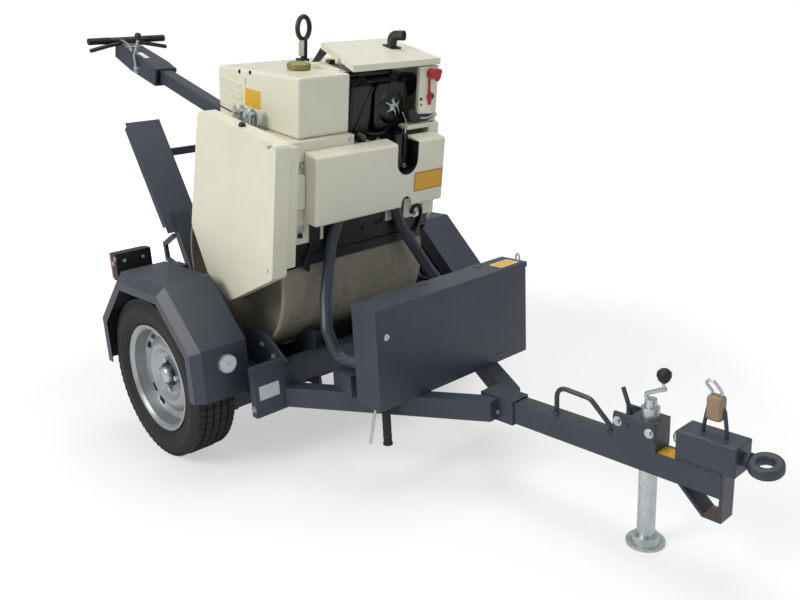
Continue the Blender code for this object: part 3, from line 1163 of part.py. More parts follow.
def handle():
    """Arm, console, grips and travel lever, measured along the handle from its pivot."""
    half = HANDLE_TUBE / 2
    arm = box("handle_arm", HANDLE, (-0.026, CONSOLE_START - SEAT), (-half, half), (-half, half))
    cut(arm, [rod("handle_bore", HANDLE, (0.0, -0.05, 0.0), (0.0, 0.05, 0.0), RAMP_PIN_RADIUS, 24)])
    paint(arm, "anthracite_paint")
    tall, wide = CONSOLE_HEIGHT / 2, CONSOLE_WIDTH / 2
    body = loft("handle_console", HANDLE, [
        [(CONSOLE_START, y, -tall), (CONSOLE_START, y, tall * 0.8),
         (CONSOLE_START + 0.060, y, tall), (CONSOLE_END, y, tall), (CONSOLE_END, y, -tall * CONSOLE_TAIL),
         (CONSOLE_END - 0.14, y, -tall)] for y in (-wide, wide)])
    paint(body, "anthracite_paint")
    grips = tube("handle_grips", HANDLE,
                 [(CONSOLE_END + GRIP_ROD + SEAT - 0.03, -GRIP_HALF, tall + GRIP_ROD + SEAT),
                  (CONSOLE_END + GRIP_ROD + SEAT - 0.03, GRIP_HALF, tall + GRIP_ROD + SEAT)], GRIP_ROD, 4)
    paint(grips, "black_plastic")
    lever = tube("travel_lever", HANDLE,
                 bent([(0.960, wide + 0.008, -0.020), (0.975, wide + 0.012, 0.040),
                       (0.960, wide + 0.004, 0.110)], 0.02), 0.006)
    fuse(lever, [rod("lever_boss", HANDLE, (0.960, wide + SEAT, -0.015), (0.960, wide + 0.016, -0.015),
                     0.014, 16)])
    paint(lever, "zinc_plate")
    knob = turned("lever_knob", HANDLE,
                  [(0.0, 0.030), (0.010, 0.027), (0.015, 0.015), (0.010, 0.003), (0.0, 0.0)],
                  (0.960, wide + 0.004, 0.110 + SEAT), "Z", 20, closed=False)
    return paint(knob, "black_plastic")


def build():
    for side, sign in SIDES:
        wheel(side, sign)
        fender(side, sign)
        rear_lamp(side, sign)
        reflector(side, sign)
    for make in (chassis, axle, a_frame, drawbar, coupling, tow_eye, grab_handle, safety_loop,
                 jack_clamp, jack, toolbox, ramp, ramp_latch, hoop, drum, roller_frame, right_cover,
                 left_cover, hood, tank, canopy_arms, nose, lifting_eye, engine, column, canopy,
                 tow_hook, handle):
        make()
    bpy.context.view_layer.update()


build()
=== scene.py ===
"""Camera, light, materials and fine pieces of the drum roller on its two-wheel road trailer.

Metres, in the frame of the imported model: +X forward to the tow eye, +Y left, +Z up.
Sizes on the trailer count from under the wheel axle, sizes on the roller from the drum's centre in its
nose-down frame, and sizes on the handle run along the handle from its pivot.
"""
import math

import bmesh
import bpy
from mathutils import Euler, Matrix, Vector


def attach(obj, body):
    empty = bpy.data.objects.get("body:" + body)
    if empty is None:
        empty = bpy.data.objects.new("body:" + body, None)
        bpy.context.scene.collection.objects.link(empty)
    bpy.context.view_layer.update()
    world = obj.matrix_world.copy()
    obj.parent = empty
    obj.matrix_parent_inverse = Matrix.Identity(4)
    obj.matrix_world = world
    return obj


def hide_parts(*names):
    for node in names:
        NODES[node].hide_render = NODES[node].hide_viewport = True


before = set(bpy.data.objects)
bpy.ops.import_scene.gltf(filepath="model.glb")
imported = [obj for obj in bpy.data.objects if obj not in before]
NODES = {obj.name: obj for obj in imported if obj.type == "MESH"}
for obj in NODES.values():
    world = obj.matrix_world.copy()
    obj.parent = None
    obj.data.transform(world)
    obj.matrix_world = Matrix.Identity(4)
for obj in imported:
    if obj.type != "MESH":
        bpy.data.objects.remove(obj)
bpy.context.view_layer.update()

# The three datums of the machine
AXLE_X = -0.32889
PITCH = math.radians(8.5)
RISE = math.radians(17.8)
TRAILER = Matrix.Translation((AXLE_X, 0.0, 0.0))
ROLLER = TRAILER @ Matrix.Translation((0.125, 0.0, 0.607)) @ Matrix.Rotation(PITCH, 4, "Y")
PIVOT = ROLLER @ Vector((-0.224, 0.0, 0.316))
HANDLE = Matrix.Translation(PIVOT) @ Euler((0.0, -RISE, math.pi)).to_matrix().to_4x4()
BODY = "trailer_and_roller"
SIDES = (("right", -1.0), ("left", 1.0))

# Places on the trailer's solids
WHEEL_Y, WHEEL_RADIUS = 0.558, 0.275
FENDER_Y, FENDER_FRONT, FENDER_WALL = 0.545, 0.3453, 0.4706
WING_FRONT, SIDE_TOP = 0.432, 0.325
LID_TOP, TOOLBOX_FRONT = 0.5996, 0.801
LID_HINGES = (-0.215, -0.060, 0.190)
BAR_TOP, SLEEVE_FRONT, SLEEVE_SIDE = 0.290, 1.047, 0.0363
CLAMP_SIDE, CLAMP_MIDDLE = -0.034, 1.451
EYE_X, EYE_Z, COLLAR_X = 1.782, 0.337, 1.7282

# Places on the roller's and the handle's solids
HOOD_FRONT, HOOD_TOP = 0.280, 0.4842
COVER_SIDE, TANK_SIDE, TANK_EDGE = -0.425, -0.285, -0.0895
BOX_FRONT, BEAM_FRONT, COLUMN_FRONT = 0.344, 0.276, 0.262
SLOT_Y = 0.0855
CONSOLE_TOP, GRIPS_X, GRIPS_Z = 0.039, 1.148, 0.0523

# Faces that small plates sit on: local X and Y lie in the face and local Z points out of it
FACES = {
    "front": Matrix(((0, 0, 1, 0), (1, 0, 0, 0), (0, 1, 0, 0), (0, 0, 0, 1))),
    "rear": Matrix(((0, 0, -1, 0), (-1, 0, 0, 0), (0, 1, 0, 0), (0, 0, 0, 1))),
    "right": Matrix(((1, 0, 0, 0), (0, 0, -1, 0), (0, 1, 0, 0), (0, 0, 0, 1))),
    "left": Matrix(((-1, 0, 0, 0), (0, 0, 1, 0), (0, 1, 0, 0), (0, 0, 0, 1))),
    "top": Matrix.Identity(4),
}


def on(base, face, point, turn=0.0):
    """The place of something that sits on a face, turned about the face's own normal."""
    return base @ Matrix.Translation(point) @ FACES[face] @ Matrix.Rotation(turn, 4, "Z")


# Materials

def linear(code):
    """An sRGB hex colour as linear red, green, blue and alpha."""
    parts = [int(code[i:i + 2], 16) / 255 for i in (1, 3, 5)]
    return tuple(v / 12.92 if v <= 0.04045 else ((v + 0.055) / 1.055) ** 2.4 for v in parts) + (1.0,)


def add(tree, kind, settings=None, links=None):
    """A node with its settings (a small first letter names a property) and its incoming links.
    A link from a node itself comes from the node's first output."""
    made = tree.nodes.new(kind)
    for name, value in (settings or {}).items():
        if isinstance(name, str) and name[0].islower():
            setattr(made, name, value)
        else:
            made.inputs[name].default_value = value
    for name, source in (links or {}).items():
        if isinstance(source, bpy.types.Node):
            source = source.outputs[0]
        tree.links.new(source, made.inputs[name])
    return made


def start(name, **sockets):
    """A material with constants on its shader, its tree, and a link to the object's own coordinates."""
    made = bpy.data.materials.new(name)
    made.use_nodes = True
    tree = made.node_tree
    for socket, value in sockets.items():
        tree.nodes["Principled BSDF"].inputs[socket.replace("_", " ")].default_value = value
    return made, tree, {"Vector": add(tree, "ShaderNodeTexCoord").outputs["Object"]}


def dress(made, **links):
    """The material with what feeds its shader linked."""
    tree = made.node_tree
    for socket, source in links.items():
        tree.links.new(source, tree.nodes["Principled BSDF"].inputs[socket.replace("_", " ")])
    return made


def painted_steel(name, colour, shade, dust, rough, coat, dust_share):
    """Powder coat on sheet and tube: a fine orange-peel skin over rounded edges, cloudy in tone,
    with dry site dust that settles on the faces that look up."""
    made, tree, at = start(name, Coat_Weight=coat, Coat_Roughness=0.25)
    cloud = add(tree, "ShaderNodeTexNoise", {"Scale": 4.0, "Detail": 5.0, "Roughness": 0.6}, at)
    spots = add(tree, "ShaderNodeTexNoise", {"Scale": 55.0, "Detail": 4.0, "Roughness": 0.7}, at)
    tone = add(tree, "ShaderNodeMapRange", {"From Min": 0.3, "From Max": 0.7}, {"Value": cloud})
    base = add(tree, "ShaderNodeMix", {"data_type": "RGBA", 6: linear(colour), 7: linear(shade)}, {0: tone})
    facing = add(tree, "ShaderNodeTexCoord").outputs["Normal"]
    normal = add(tree, "ShaderNodeSeparateXYZ", {}, {"Vector": facing})
    upward = add(tree, "ShaderNodeMapRange", {"From Min": 0.55, "From Max": 0.98, "To Max": dust_share},
                 {"Value": normal.outputs["Z"]})
    patch = add(tree, "ShaderNodeMapRange", {"From Min": 0.38, "From Max": 0.62, "To Min": 0.35},
                {"Value": spots})
    settled = add(tree, "ShaderNodeMath", {"operation": "MULTIPLY"}, {0: upward, 1: patch})
    final = add(tree, "ShaderNodeMix", {"data_type": "RGBA", 7: linear(dust)},
                {0: settled, 6: base.outputs[2]})
    gloss = add(tree, "ShaderNodeMapRange", {"To Min": rough - 0.06, "To Max": rough + 0.10},
                {"Value": spots})
    # the orange peel is about 2 mm across on the real coat
    peel = add(tree, "ShaderNodeTexNoise", {"Scale": 420.0, "Detail": 1.0}, at)
    edge = add(tree, "ShaderNodeBevel", {"samples": 4, "Radius": 0.0022})
    skin = add(tree, "ShaderNodeBump", {"Strength": 0.12, "Distance": 0.0006},
               {"Height": peel, "Normal": edge})
    return dress(made, Base_Color=final.outputs[2], Roughness=gloss.outputs[0], Normal=skin.outputs[0])


def rolled_drum_steel():
    """Hot-rolled drum shell, polished by use along its turning direction and dulled by dry clay,
    so it reads warm grey with soft bands and small brown rust blooms."""
    made, tree, at = start("rolled_drum_steel", Metallic=0.30)
    stretch = add(tree, "ShaderNodeMapping", {"Scale": (1.0, 9.0, 1.0)}, at)
    bands = add(tree, "ShaderNodeTexNoise", {"Scale": 3.0, "Detail": 6.0, "Roughness": 0.65},
                {"Vector": stretch})
    blooms = add(tree, "ShaderNodeTexNoise", {"Scale": 14.0, "Detail": 7.0, "Roughness": 0.7}, at)
    steel = add(tree, "ShaderNodeMix", {"data_type": "RGBA", 6: linear("#79776b"), 7: linear("#a3a092")},
                {0: bands})
    rust = add(tree, "ShaderNodeMapRange", {"From Min": 0.54, "From Max": 0.74, "To Max": 0.6},
               {"Value": blooms})
    final = add(tree, "ShaderNodeMix", {"data_type": "RGBA", 7: linear("#6d5a42")},
                {0: rust, 6: steel.outputs[2]})
    gloss = add(tree, "ShaderNodeMapRange", {"To Min": 0.52, "To Max": 0.78}, {"Value": bands})
    skin = add(tree, "ShaderNodeBump", {"Strength": 0.25, "Distance": 0.0008}, {"Height": blooms})
    return dress(made, Base_Color=final.outputs[2], Roughness=gloss.outputs[0], Normal=skin.outputs[0])


def bright_metal(name, light, dark, rough, grain, metallic=0.9):
    """Zinc plate, wheel lacquer or worn brass: a crystal or flake pattern a few millimetres across
    that shifts the tone and the gloss a little."""
    made, tree, at = start(name, Metallic=metallic)
    flake = add(tree, "ShaderNodeTexVoronoi", {"Scale": grain}, at)
    cloud = add(tree, "ShaderNodeTexNoise", {"Scale": 24.0, "Detail": 4.0}, at)
    mixed = add(tree, "ShaderNodeMath", {"operation": "ADD"}, {0: flake, 1: cloud})
    part = add(tree, "ShaderNodeMapRange", {"From Min": 0.3, "From Max": 1.2}, {"Value": mixed})
    colour = add(tree, "ShaderNodeMix", {"data_type": "RGBA", 6: linear(dark), 7: linear(light)}, {0: part})
    gloss = add(tree, "ShaderNodeMapRange", {"To Min": rough - 0.08, "To Max": rough + 0.12},
                {"Value": cloud})
    edge = add(tree, "ShaderNodeBevel", {"samples": 4, "Radius": 0.0012})
    return dress(made, Base_Color=colour.outputs[2], Roughness=gloss.outputs[0], Normal=edge.outputs[0])


def moulded(name, colour, worn, rough, grain, depth):
    """Moulded plastic or rubber: an even tone that greys where it is rubbed, over a fine leathery
    grain from the mould."""
    made, tree, at = start(name)
    cloud = add(tree, "ShaderNodeTexNoise", {"Scale": 18.0, "Detail": 5.0}, at)
    rub = add(tree, "ShaderNodeMapRange", {"From Min": 0.35, "From Max": 0.8, "To Max": 0.6},
              {"Value": cloud})
    tone = add(tree, "ShaderNodeMix", {"data_type": "RGBA", 6: linear(colour), 7: linear(worn)}, {0: rub})
    leather = add(tree, "ShaderNodeTexVoronoi", {"Scale": grain}, at)
    edge = add(tree, "ShaderNodeBevel", {"samples": 4, "Radius": 0.0015})
    skin = add(tree, "ShaderNodeBump", {"Strength": 0.3, "Distance": depth},
               {"Height": leather, "Normal": edge})
    gloss = add(tree, "ShaderNodeMapRange", {"To Min": rough - 0.08, "To Max": rough + 0.1},
                {"Value": cloud})
    return dress(made, Base_Color=tone.outputs[2], Roughness=gloss.outputs[0], Normal=skin.outputs[0])


def prismatic_lens(name, colour, deep):
    """Clear or red acrylic over moulded corner prisms, so it glints in small cells about 3 mm wide."""
    made, tree, at = start(name, Roughness=0.12, Coat_Weight=0.6, Coat_Roughness=0.05)
    cells = add(tree, "ShaderNodeTexVoronoi", {"Scale": 330.0}, at)
    tone = add(tree, "ShaderNodeMix", {"data_type": "RGBA", 6: linear(colour), 7: linear(deep)}, {0: cells})
    skin = add(tree, "ShaderNodeBump", {"Strength": 0.5, "Distance": 0.0008}, {"Height": cells})
    return dress(made, Base_Color=tone.outputs[2], Normal=skin.outputs[0])


def printed_vinyl(name, colour, worn):
    """A blank self-adhesive vinyl plate, flat and slightly scuffed."""
    made, tree, at = start(name, Roughness=0.4)
    scuff = add(tree, "ShaderNodeTexNoise", {"Scale": 90.0, "Detail": 6.0, "Roughness": 0.75}, at)
    part = add(tree, "ShaderNodeMapRange", {"From Min": 0.45, "From Max": 0.75, "To Max": 0.8},
               {"Value": scuff})
    tone = add(tree, "ShaderNodeMix", {"data_type": "RGBA", 6: linear(colour), 7: linear(worn)}, {0: part})
    return dress(made, Base_Color=tone.outputs[2])


ANTHRACITE = painted_steel("anthracite_powder_coat", "#343d4a", "#2c3540", "#545657", 0.42, 0.10, 0.30)
CREAM = painted_steel("cream_stove_enamel", "#dfdfce", "#d7d7c5", "#c9c4b0", 0.34, 0.25, 0.40)
SLATE = painted_steel("black_machine_enamel", "#17191c", "#101214", "#3d3932", 0.45, 0.1, 0.35)
CASTING = painted_steel("grey_cast_coupling_paint", "#38414c", "#2d353e", "#524e48", 0.5, 0.05, 0.3)
RUSTED = painted_steel("rubbed_through_skid_steel", "#7a6f66", "#5b5048", "#6e5a48", 0.6, 0.0, 0.4)
DRUM = rolled_drum_steel()
ZINC = bright_metal("zinc_plated_steel", "#cdd6d8", "#94a0a4", 0.34, 260.0)
LACQUER = bright_metal("silver_wheel_lacquer", "#b0b6ba", "#858c92", 0.34, 900.0, 0.75)
BRASS = bright_metal("tarnished_brass", "#98955b", "#716d3e", 0.50, 160.0, 0.40)
BRONZE = bright_metal("worn_bronze_lock", "#a08a70", "#7c6852", 0.5, 180.0, 0.35)
RUBBER = moulded("tyre_rubber", "#1a1a1c", "#2b2b2e", 0.72, 500.0, 0.0003)
PLASTIC = moulded("black_glass_filled_nylon", "#0e0e10", "#1f2023", 0.40, 900.0, 0.0002)
SHROUD = moulded("gloss_black_shroud", "#08080a", "#131316", 0.26, 700.0, 0.0001)
SOOT = moulded("exhaust_soot", "#050505", "#0a0a0a", 0.9, 400.0, 0.0002)
RED = moulded("red_switch_plastic", "#b4141c", "#c9474a", 0.35, 900.0, 0.0001)
LAMP_RED = prismatic_lens("red_lamp_lens", "#7d0f0f", "#b02018")
CLEAR = prismatic_lens("clear_reflector_lens", "#f2f4f5", "#c5ccd2")
YELLOW = printed_vinyl("yellow_vinyl", "#dfb32c", "#cba12b")
ORANGE = printed_vinyl("orange_vinyl", "#dea42e", "#cd952a")
OCHRE = printed_vinyl("ochre_vinyl", "#a87a20", "#94691c")
PALE = printed_vinyl("pale_vinyl", "#e9e7da", "#d8d5c6")
GREY_VINYL = printed_vinyl("grey_vinyl", "#c6cace", "#adb2b6")

# The CAD material that each finish stands for
SLOTS = {
    ANTHRACITE: "anthracite_paint", CREAM: "cream_paint", SLATE: "black_steel", CASTING: "black_steel",
    RUSTED: "black_steel", ZINC: "zinc_plate", LACQUER: "silver_paint", BRASS: "brass",
    RUBBER: "tyre_rubber", PLASTIC: "black_plastic", SHROUD: "black_plastic", SOOT: "black_plastic",
    RED: "red_plastic",
}

NODE_FINISHES = {
    ANTHRACITE: ("chassis", "axle", "drawbar_arms", "drawbar", "coupling_box", "grab_handle", "jack_clamp",
                 "toolbox", "toolbox_lid", "fender_left", "fender_right", "ramp", "ramp_latch", "hoop",
                 "handle_arm", "handle_console"),
    CREAM: ("side_cover_left", "side_cover_right", "hood", "water_tank", "front_box", "control_column",
            "canopy"),
    SLATE: ("roller_frame", "engine_block", "exhaust_elbow", "drum_axle", "hub_left", "hub_right",
            "lifting_eye", "tow_hook", "canopy_arms"),
    CASTING: ("tow_eye", "safety_staple"),
    DRUM: ("drum",),
    ZINC: ("jack_leg", "jack_crank", "travel_lever", "lock_shackle"),
    LACQUER: ("rim_left", "rim_right"),
    BRASS: ("filler_cap",),
    BRONZE: ("lock_body",),
    RUBBER: ("tyre_left", "tyre_right", "toolbox_prop"),
    PLASTIC: ("crank_knob", "lever_knob", "handle_grips", "rear_lamp_left", "rear_lamp_right",
              "air_cleaner"),
    SHROUD: ("starter_cowl", "engine_cowl"),
    RED: ("battery_switch",),
    LAMP_RED: ("lamp_lens_left", "lamp_lens_right"),
    CLEAR: ("reflector_left", "reflector_right"),
}
for finish, names in NODE_FINISHES.items():
    for name in names:
        NODES[name].data.materials.clear()
        NODES[name].data.materials.append(finish)


# Closed forms, each added to one shape at its place

AXIS = 1e-6    # a smaller radius lies on the axis


def slab(shape, outline, low, high, place=Matrix()):
    """A flat outline in X and Y, from low to high along Z."""
    rings = [[shape.verts.new(place @ Vector((x, y, z))) for x, y in outline] for z in (low, high)]
    band(shape, rings[0], rings[1])
    shape.faces.new(rings[0][::-1])
    shape.faces.new(rings[1])


def band(shape, first, second):
    """Faces between two rings of points. A ring of one point makes a fan."""
    steps = max(len(first), len(second))
    for k in range(steps):
        after = (k + 1) % steps
        if len(first) == 1:
            shape.faces.new((first[0], second[after], second[k]))
        elif len(second) == 1:
            shape.faces.new((first[k], first[after], second[0]))
        else:
            shape.faces.new((first[k], first[after], second[after], second[k]))


def block(shape, x, y, z, place=Matrix()):
    """A box between two values along each axis."""
    slab(shape, [(x[0], y[0]), (x[1], y[0]), (x[1], y[1]), (x[0], y[1])], z[0], z[1], place)


def panel(width, height, radius, steps=3):
    """A rectangle with rounded corners, centred."""
    outline = []
    for corner in range(4):
        across = (width / 2 - radius) * (1, -1, -1, 1)[corner]
        up = (height / 2 - radius) * (1, 1, -1, -1)[corner]
        for step in range(steps + 1):
            angle = math.pi / 2 * (corner + step / steps)
            outline.append((across + radius * math.cos(angle), up + radius * math.sin(angle)))
    return outline


def pipe(shape, path, radius, sides=12, place=Matrix()):
    """A round bar along a path, with flat ends. The radius may be a list, one for each point."""
    points = [place @ Vector(point) for point in path]
    radii = radius if isinstance(radius, (list, tuple)) else [radius] * len(points)
    angles = [2 * math.pi * k / sides for k in range(sides)]
    side = None
    rings = []
    for index, point in enumerate(points):
        way = (points[min(index + 1, len(points) - 1)] - points[max(index - 1, 0)]).normalized()
        side = way.orthogonal() if side is None else side - way * side.dot(way)
        side.normalize()
        other = way.cross(side)
        rings.append([shape.verts.new(point + (side * math.cos(a) + other * math.sin(a)) * radii[index])
                      for a in angles])
    for lower, upper in zip(rings, rings[1:]):
        band(shape, lower, upper)
    shape.faces.new(rings[0][::-1])
    shape.faces.new(rings[-1])


def spun(shape, profile, place=Matrix(), steps=48):
    """A profile of (radius, height) turned about Z. One that starts and ends on the axis makes a solid
    body, and any other closes on itself as a ring."""
    rings = []
    for radius, height in profile:
        count = 1 if radius < AXIS else steps
        turns = [2 * math.pi * k / count for k in range(count)]
        rings.append([shape.verts.new(place @ Vector((radius * math.cos(a), radius * math.sin(a), height)))
                      for a in turns])
    for first, second in zip(rings, rings[1:]):
        band(shape, first, second)
    if profile[0][0] > AXIS:
        band(shape, rings[-1], rings[0])


def curve_through(points, count):
    """Evenly numbered points on a smooth line through a few given ones."""
    given = [Vector(p) for p in points]
    ends = [given[0] * 2 - given[1]] + given + [given[-1] * 2 - given[-2]]
    line = []
    spans = len(given) - 1
    for index in range(count + 1):
        at = spans * index / count
        span = min(int(at), spans - 1)
        t = at - span
        a, b, c, d = ends[span:span + 4]
        line.append(0.5 * ((2 * b) + (c - a) * t + (2 * a - 5 * b + 4 * c - d) * t * t
                           + (3 * b - a - 3 * c + d) * t * t * t))
    return line


def placed(name, data):
    """A new object in the scene."""
    made = bpy.data.objects.new(name, data)
    bpy.context.scene.collection.objects.link(made)
    return made


def meshed(name, shape):
    """The shape's mesh. The shape is gone after it."""
    mesh = bpy.data.meshes.new(name)
    shape.to_mesh(mesh)
    shape.free()
    return mesh


def smoothed(mesh, angle=35.0):
    """Smooth faces, with edges kept sharp where they turn by more than an angle in degrees."""
    mesh.shade_smooth()
    mesh.set_sharp_from_angle(angle=math.radians(angle))


def after_modifiers(item):
    """The mesh that an object's modifiers make."""
    bpy.context.view_layer.update()
    graph = bpy.context.evaluated_depsgraph_get()
    return bpy.data.meshes.new_from_object(item.evaluated_get(graph))


def piece(name, shape, finish, body=BODY, slot=None, bevel=0.0, angle=35.0):
    """Close the shape as one named object that rides on a body."""
    bmesh.ops.recalc_face_normals(shape, faces=shape.faces)
    mesh = meshed(name, shape)
    mesh.materials.append(finish)
    smoothed(mesh, angle)
    made = placed(name, mesh)
    if bevel:
        edge = made.modifiers.new("edge", "BEVEL")
        edge.width = bevel
        edge.segments = 2
        edge.limit_method = "ANGLE"
        edge.angle_limit = math.radians(40)
        edge.harden_normals = False
    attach(made, body)
    slot = slot or SLOTS.get(finish)
    return made


def solid(name, finish, *forms, **settings):
    """One piece made of closed forms, each a form's function and what it takes after the shape."""
    shape = bmesh.new()
    for form, *values in forms:
        form(shape, *values)
    return piece(name, shape, finish, **settings)


# Repeated pieces made with geometry nodes

def new_tree(name, inputs):
    """A geometry node group with geometry, some inputs and a material, and what it is given."""
    tree = bpy.data.node_groups.new(name, "GeometryNodeTree")
    tree.interface.new_socket("Geometry", in_out="INPUT", socket_type="NodeSocketGeometry")
    for socket, kind in inputs:
        tree.interface.new_socket(socket, in_out="INPUT", socket_type="NodeSocket" + kind)
    tree.interface.new_socket("Material", in_out="INPUT", socket_type="NodeSocketMaterial")
    tree.interface.new_socket("Geometry", in_out="OUTPUT", socket_type="NodeSocketGeometry")
    return tree, add(tree, "NodeGroupInput").outputs


def close_tree(tree, source, given):
    """End a group with its copies made real and in their material."""
    real = add(tree, "GeometryNodeRealizeInstances", {}, {"Geometry": source})
    dressed = add(tree, "GeometryNodeSetMaterial", {}, {"Geometry": real, "Material": given["Material"]})
    add(tree, "NodeGroupOutput", {}, {"Geometry": dressed})
    return tree


def bolt_tree():
    """A hexagon head on a washer at each point, its axis along the point's aim."""
    tree, given = new_tree("hex_bolts", (("Across", "Float"), ("Height", "Float")))
    washer_radius, washer_height, head_radius, head_lift = [
        add(tree, "ShaderNodeMath", {"operation": "MULTIPLY", 1: share}, {0: given[size]})
        for size, share in (("Across", 0.95), ("Height", 0.35), ("Across", 0.577), ("Height", 0.8))]
    washer = add(tree, "GeometryNodeMeshCylinder", {"Vertices": 20},
                 {"Radius": washer_radius, "Depth": washer_height})
    head = add(tree, "GeometryNodeMeshCylinder", {"Vertices": 6},
               {"Radius": head_radius, "Depth": given["Height"]})
    lift = add(tree, "ShaderNodeCombineXYZ", {}, {"Z": head_lift})
    raised = add(tree, "GeometryNodeTransform", {}, {"Geometry": head, "Translation": lift})
    both = add(tree, "GeometryNodeJoinGeometry", {}, {"Geometry": washer})
    tree.links.new(raised.outputs["Geometry"], both.inputs["Geometry"])
    aim = add(tree, "GeometryNodeInputNamedAttribute", {"data_type": "FLOAT_VECTOR", "Name": "aim"})
    turn = add(tree, "FunctionNodeAlignRotationToVector", {"axis": "Z"},
               {"Vector": aim.outputs["Attribute"]})
    copies = add(tree, "GeometryNodeInstanceOnPoints", {},
                 {"Points": given["Geometry"], "Instance": both, "Rotation": turn})
    return close_tree(tree, copies, given)


def bead_tree():
    """Overlapping weld ripples, one bead at each point."""
    tree, given = new_tree("weld_ripples", (("Radius", "Float"),))
    bead = add(tree, "GeometryNodeMeshUVSphere", {"Segments": 8, "Rings": 6}, {"Radius": given["Radius"]})
    copies = add(tree, "GeometryNodeInstanceOnPoints", {}, {"Points": given["Geometry"], "Instance": bead})
    return close_tree(tree, copies, given)


def ring_tree():
    """Blocks round a circle about Z, each with its length along the rim: tyre tread and cap knurling."""
    tree, given = new_tree("blocks_round_a_ring", (
        ("Count", "Int"), ("Radius", "Float"), ("Size", "Vector"), ("Offset", "Vector"), ("Skew", "Float")))
    circle = add(tree, "GeometryNodeMeshCircle", {},
                 {"Vertices": given["Count"], "Radius": given["Radius"]})
    cube = add(tree, "GeometryNodeMeshCube", {}, {"Size": given["Size"]})
    twist = add(tree, "ShaderNodeCombineXYZ", {}, {"X": given["Skew"]})
    skewed = add(tree, "GeometryNodeTransform", {}, {"Geometry": cube, "Rotation": twist})
    spot = add(tree, "GeometryNodeInputPosition")
    turn = add(tree, "FunctionNodeAlignRotationToVector", {"axis": "X", "pivot_axis": "Z"},
               {"Vector": spot})
    copies = add(tree, "GeometryNodeInstanceOnPoints", {},
                 {"Points": circle, "Instance": skewed, "Rotation": turn})
    moved = add(tree, "GeometryNodeTransform", {}, {"Geometry": copies, "Translation": given["Offset"]})
    return close_tree(tree, moved, given)


def row_tree():
    """The same disc repeated along a line: grip ribs, air cleaner ribs and cooling fins."""
    tree, given = new_tree("discs_in_a_row", (
        ("Count", "Int"), ("Step", "Vector"), ("Start", "Vector"), ("Radius", "Float"), ("Depth", "Float"),
        ("Sides", "Int"), ("Turn", "Vector")))
    line = add(tree, "GeometryNodeMeshLine", {"mode": "OFFSET"},
               {"Count": given["Count"], "Start Location": given["Start"], "Offset": given["Step"]})
    disc = add(tree, "GeometryNodeMeshCylinder", {},
               {"Vertices": given["Sides"], "Radius": given["Radius"], "Depth": given["Depth"]})
    turned = add(tree, "GeometryNodeTransform", {}, {"Geometry": disc, "Rotation": given["Turn"]})
    copies = add(tree, "GeometryNodeInstanceOnPoints", {}, {"Points": line, "Instance": turned})
    return close_tree(tree, copies, given)


BOLTS, BEADS, RING, ROW = bolt_tree(), bead_tree(), ring_tree(), row_tree()


def grown(name, tree, values, points=((0.0, 0.0, 0.0),), aims=None, place=Matrix()):
    """Run a tree on some points and keep its result as a plain mesh object, moved by the place."""
    seed_mesh = bpy.data.meshes.new(name)
    seed_mesh.from_pydata([tuple(point) for point in points], [], [])
    if aims:
        field = seed_mesh.attributes.new("aim", "FLOAT_VECTOR", "POINT")
        for item, aim in zip(field.data, aims):
            item.vector = aim
    seed = placed(name + "_points", seed_mesh)
    step = seed.modifiers.new("grow", "NODES")
    step.node_group = tree
    for item in tree.interface.items_tree:
        if item.in_out == "INPUT" and item.name in values:
            step[item.identifier] = values[item.name]
    mesh = after_modifiers(seed)
    bpy.data.objects.remove(seed, do_unlink=True)
    mesh.name = name
    mesh.materials.clear()
    mesh.materials.append(values["Material"])
    mesh.polygons.foreach_set("material_index", [0] * len(mesh.polygons))
    mesh.transform(place)
    smoothed(mesh)
    return placed(name, mesh)


def carried(made, body):
    """Put a finished object on a body."""
    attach(made, body)


def joined(name, objects, body=BODY):
    """Several mesh objects of one finish as one, riding on a body."""
    shape = bmesh.new()
    finish = objects[0].data.materials[0]
    for item in objects:
        shape.from_mesh(item.data)
        bpy.data.objects.remove(item, do_unlink=True)
    mesh = meshed(name, shape)
    mesh.materials.append(finish)
    mesh.set_sharp_from_angle(angle=math.radians(35))
    carried(placed(name, mesh), body)


def bolts(name, base, rows, across, height, finish=ZINC, body=BODY):
    """Hexagon bolts. A row is (x, y, z, face name) in the base frame."""
    points = [base @ Vector(row[:3]) for row in rows]
    aims = [base.to_3x3() @ FACES[row[3]].to_3x3() @ Vector((0.0, 0.0, 1.0)) for row in rows]
    made = grown(name, BOLTS, {"Across": across, "Height": height, "Material": finish}, points, aims)
    carried(made, body)


def weld(name, runs, radius):
    """Weld ripples on the trailer, along straight runs between two points."""
    points = []
    for run in runs:
        start_at, end_at = [Vector(point) for point in run]
        count = max(2, int((end_at - start_at).length / (radius * 1.1)))
        points += [TRAILER @ start_at.lerp(end_at, index / count) for index in range(count + 1)]
    made = grown(name, BEADS, {"Radius": radius, "Material": ANTHRACITE}, points)
    carried(made, BODY)


def sign(name, base, face, centre, width, height, finish, body=BODY, rim=None):
    """A blank plate on a face, with an optional rim round its coloured field."""
    place = on(base, face, centre)
    if rim:
        solid(name + "_rim", rim, (slab, panel(width, height, 0.004), 0.0002, 0.0006, place), body=body)
        width, height = width - 0.008, height - 0.008
    solid(name, finish, (slab, panel(width, height, 0.003), 0.0003, 0.0010, place), body=body)


# Wheels, each built about local Z, which points away from the machine

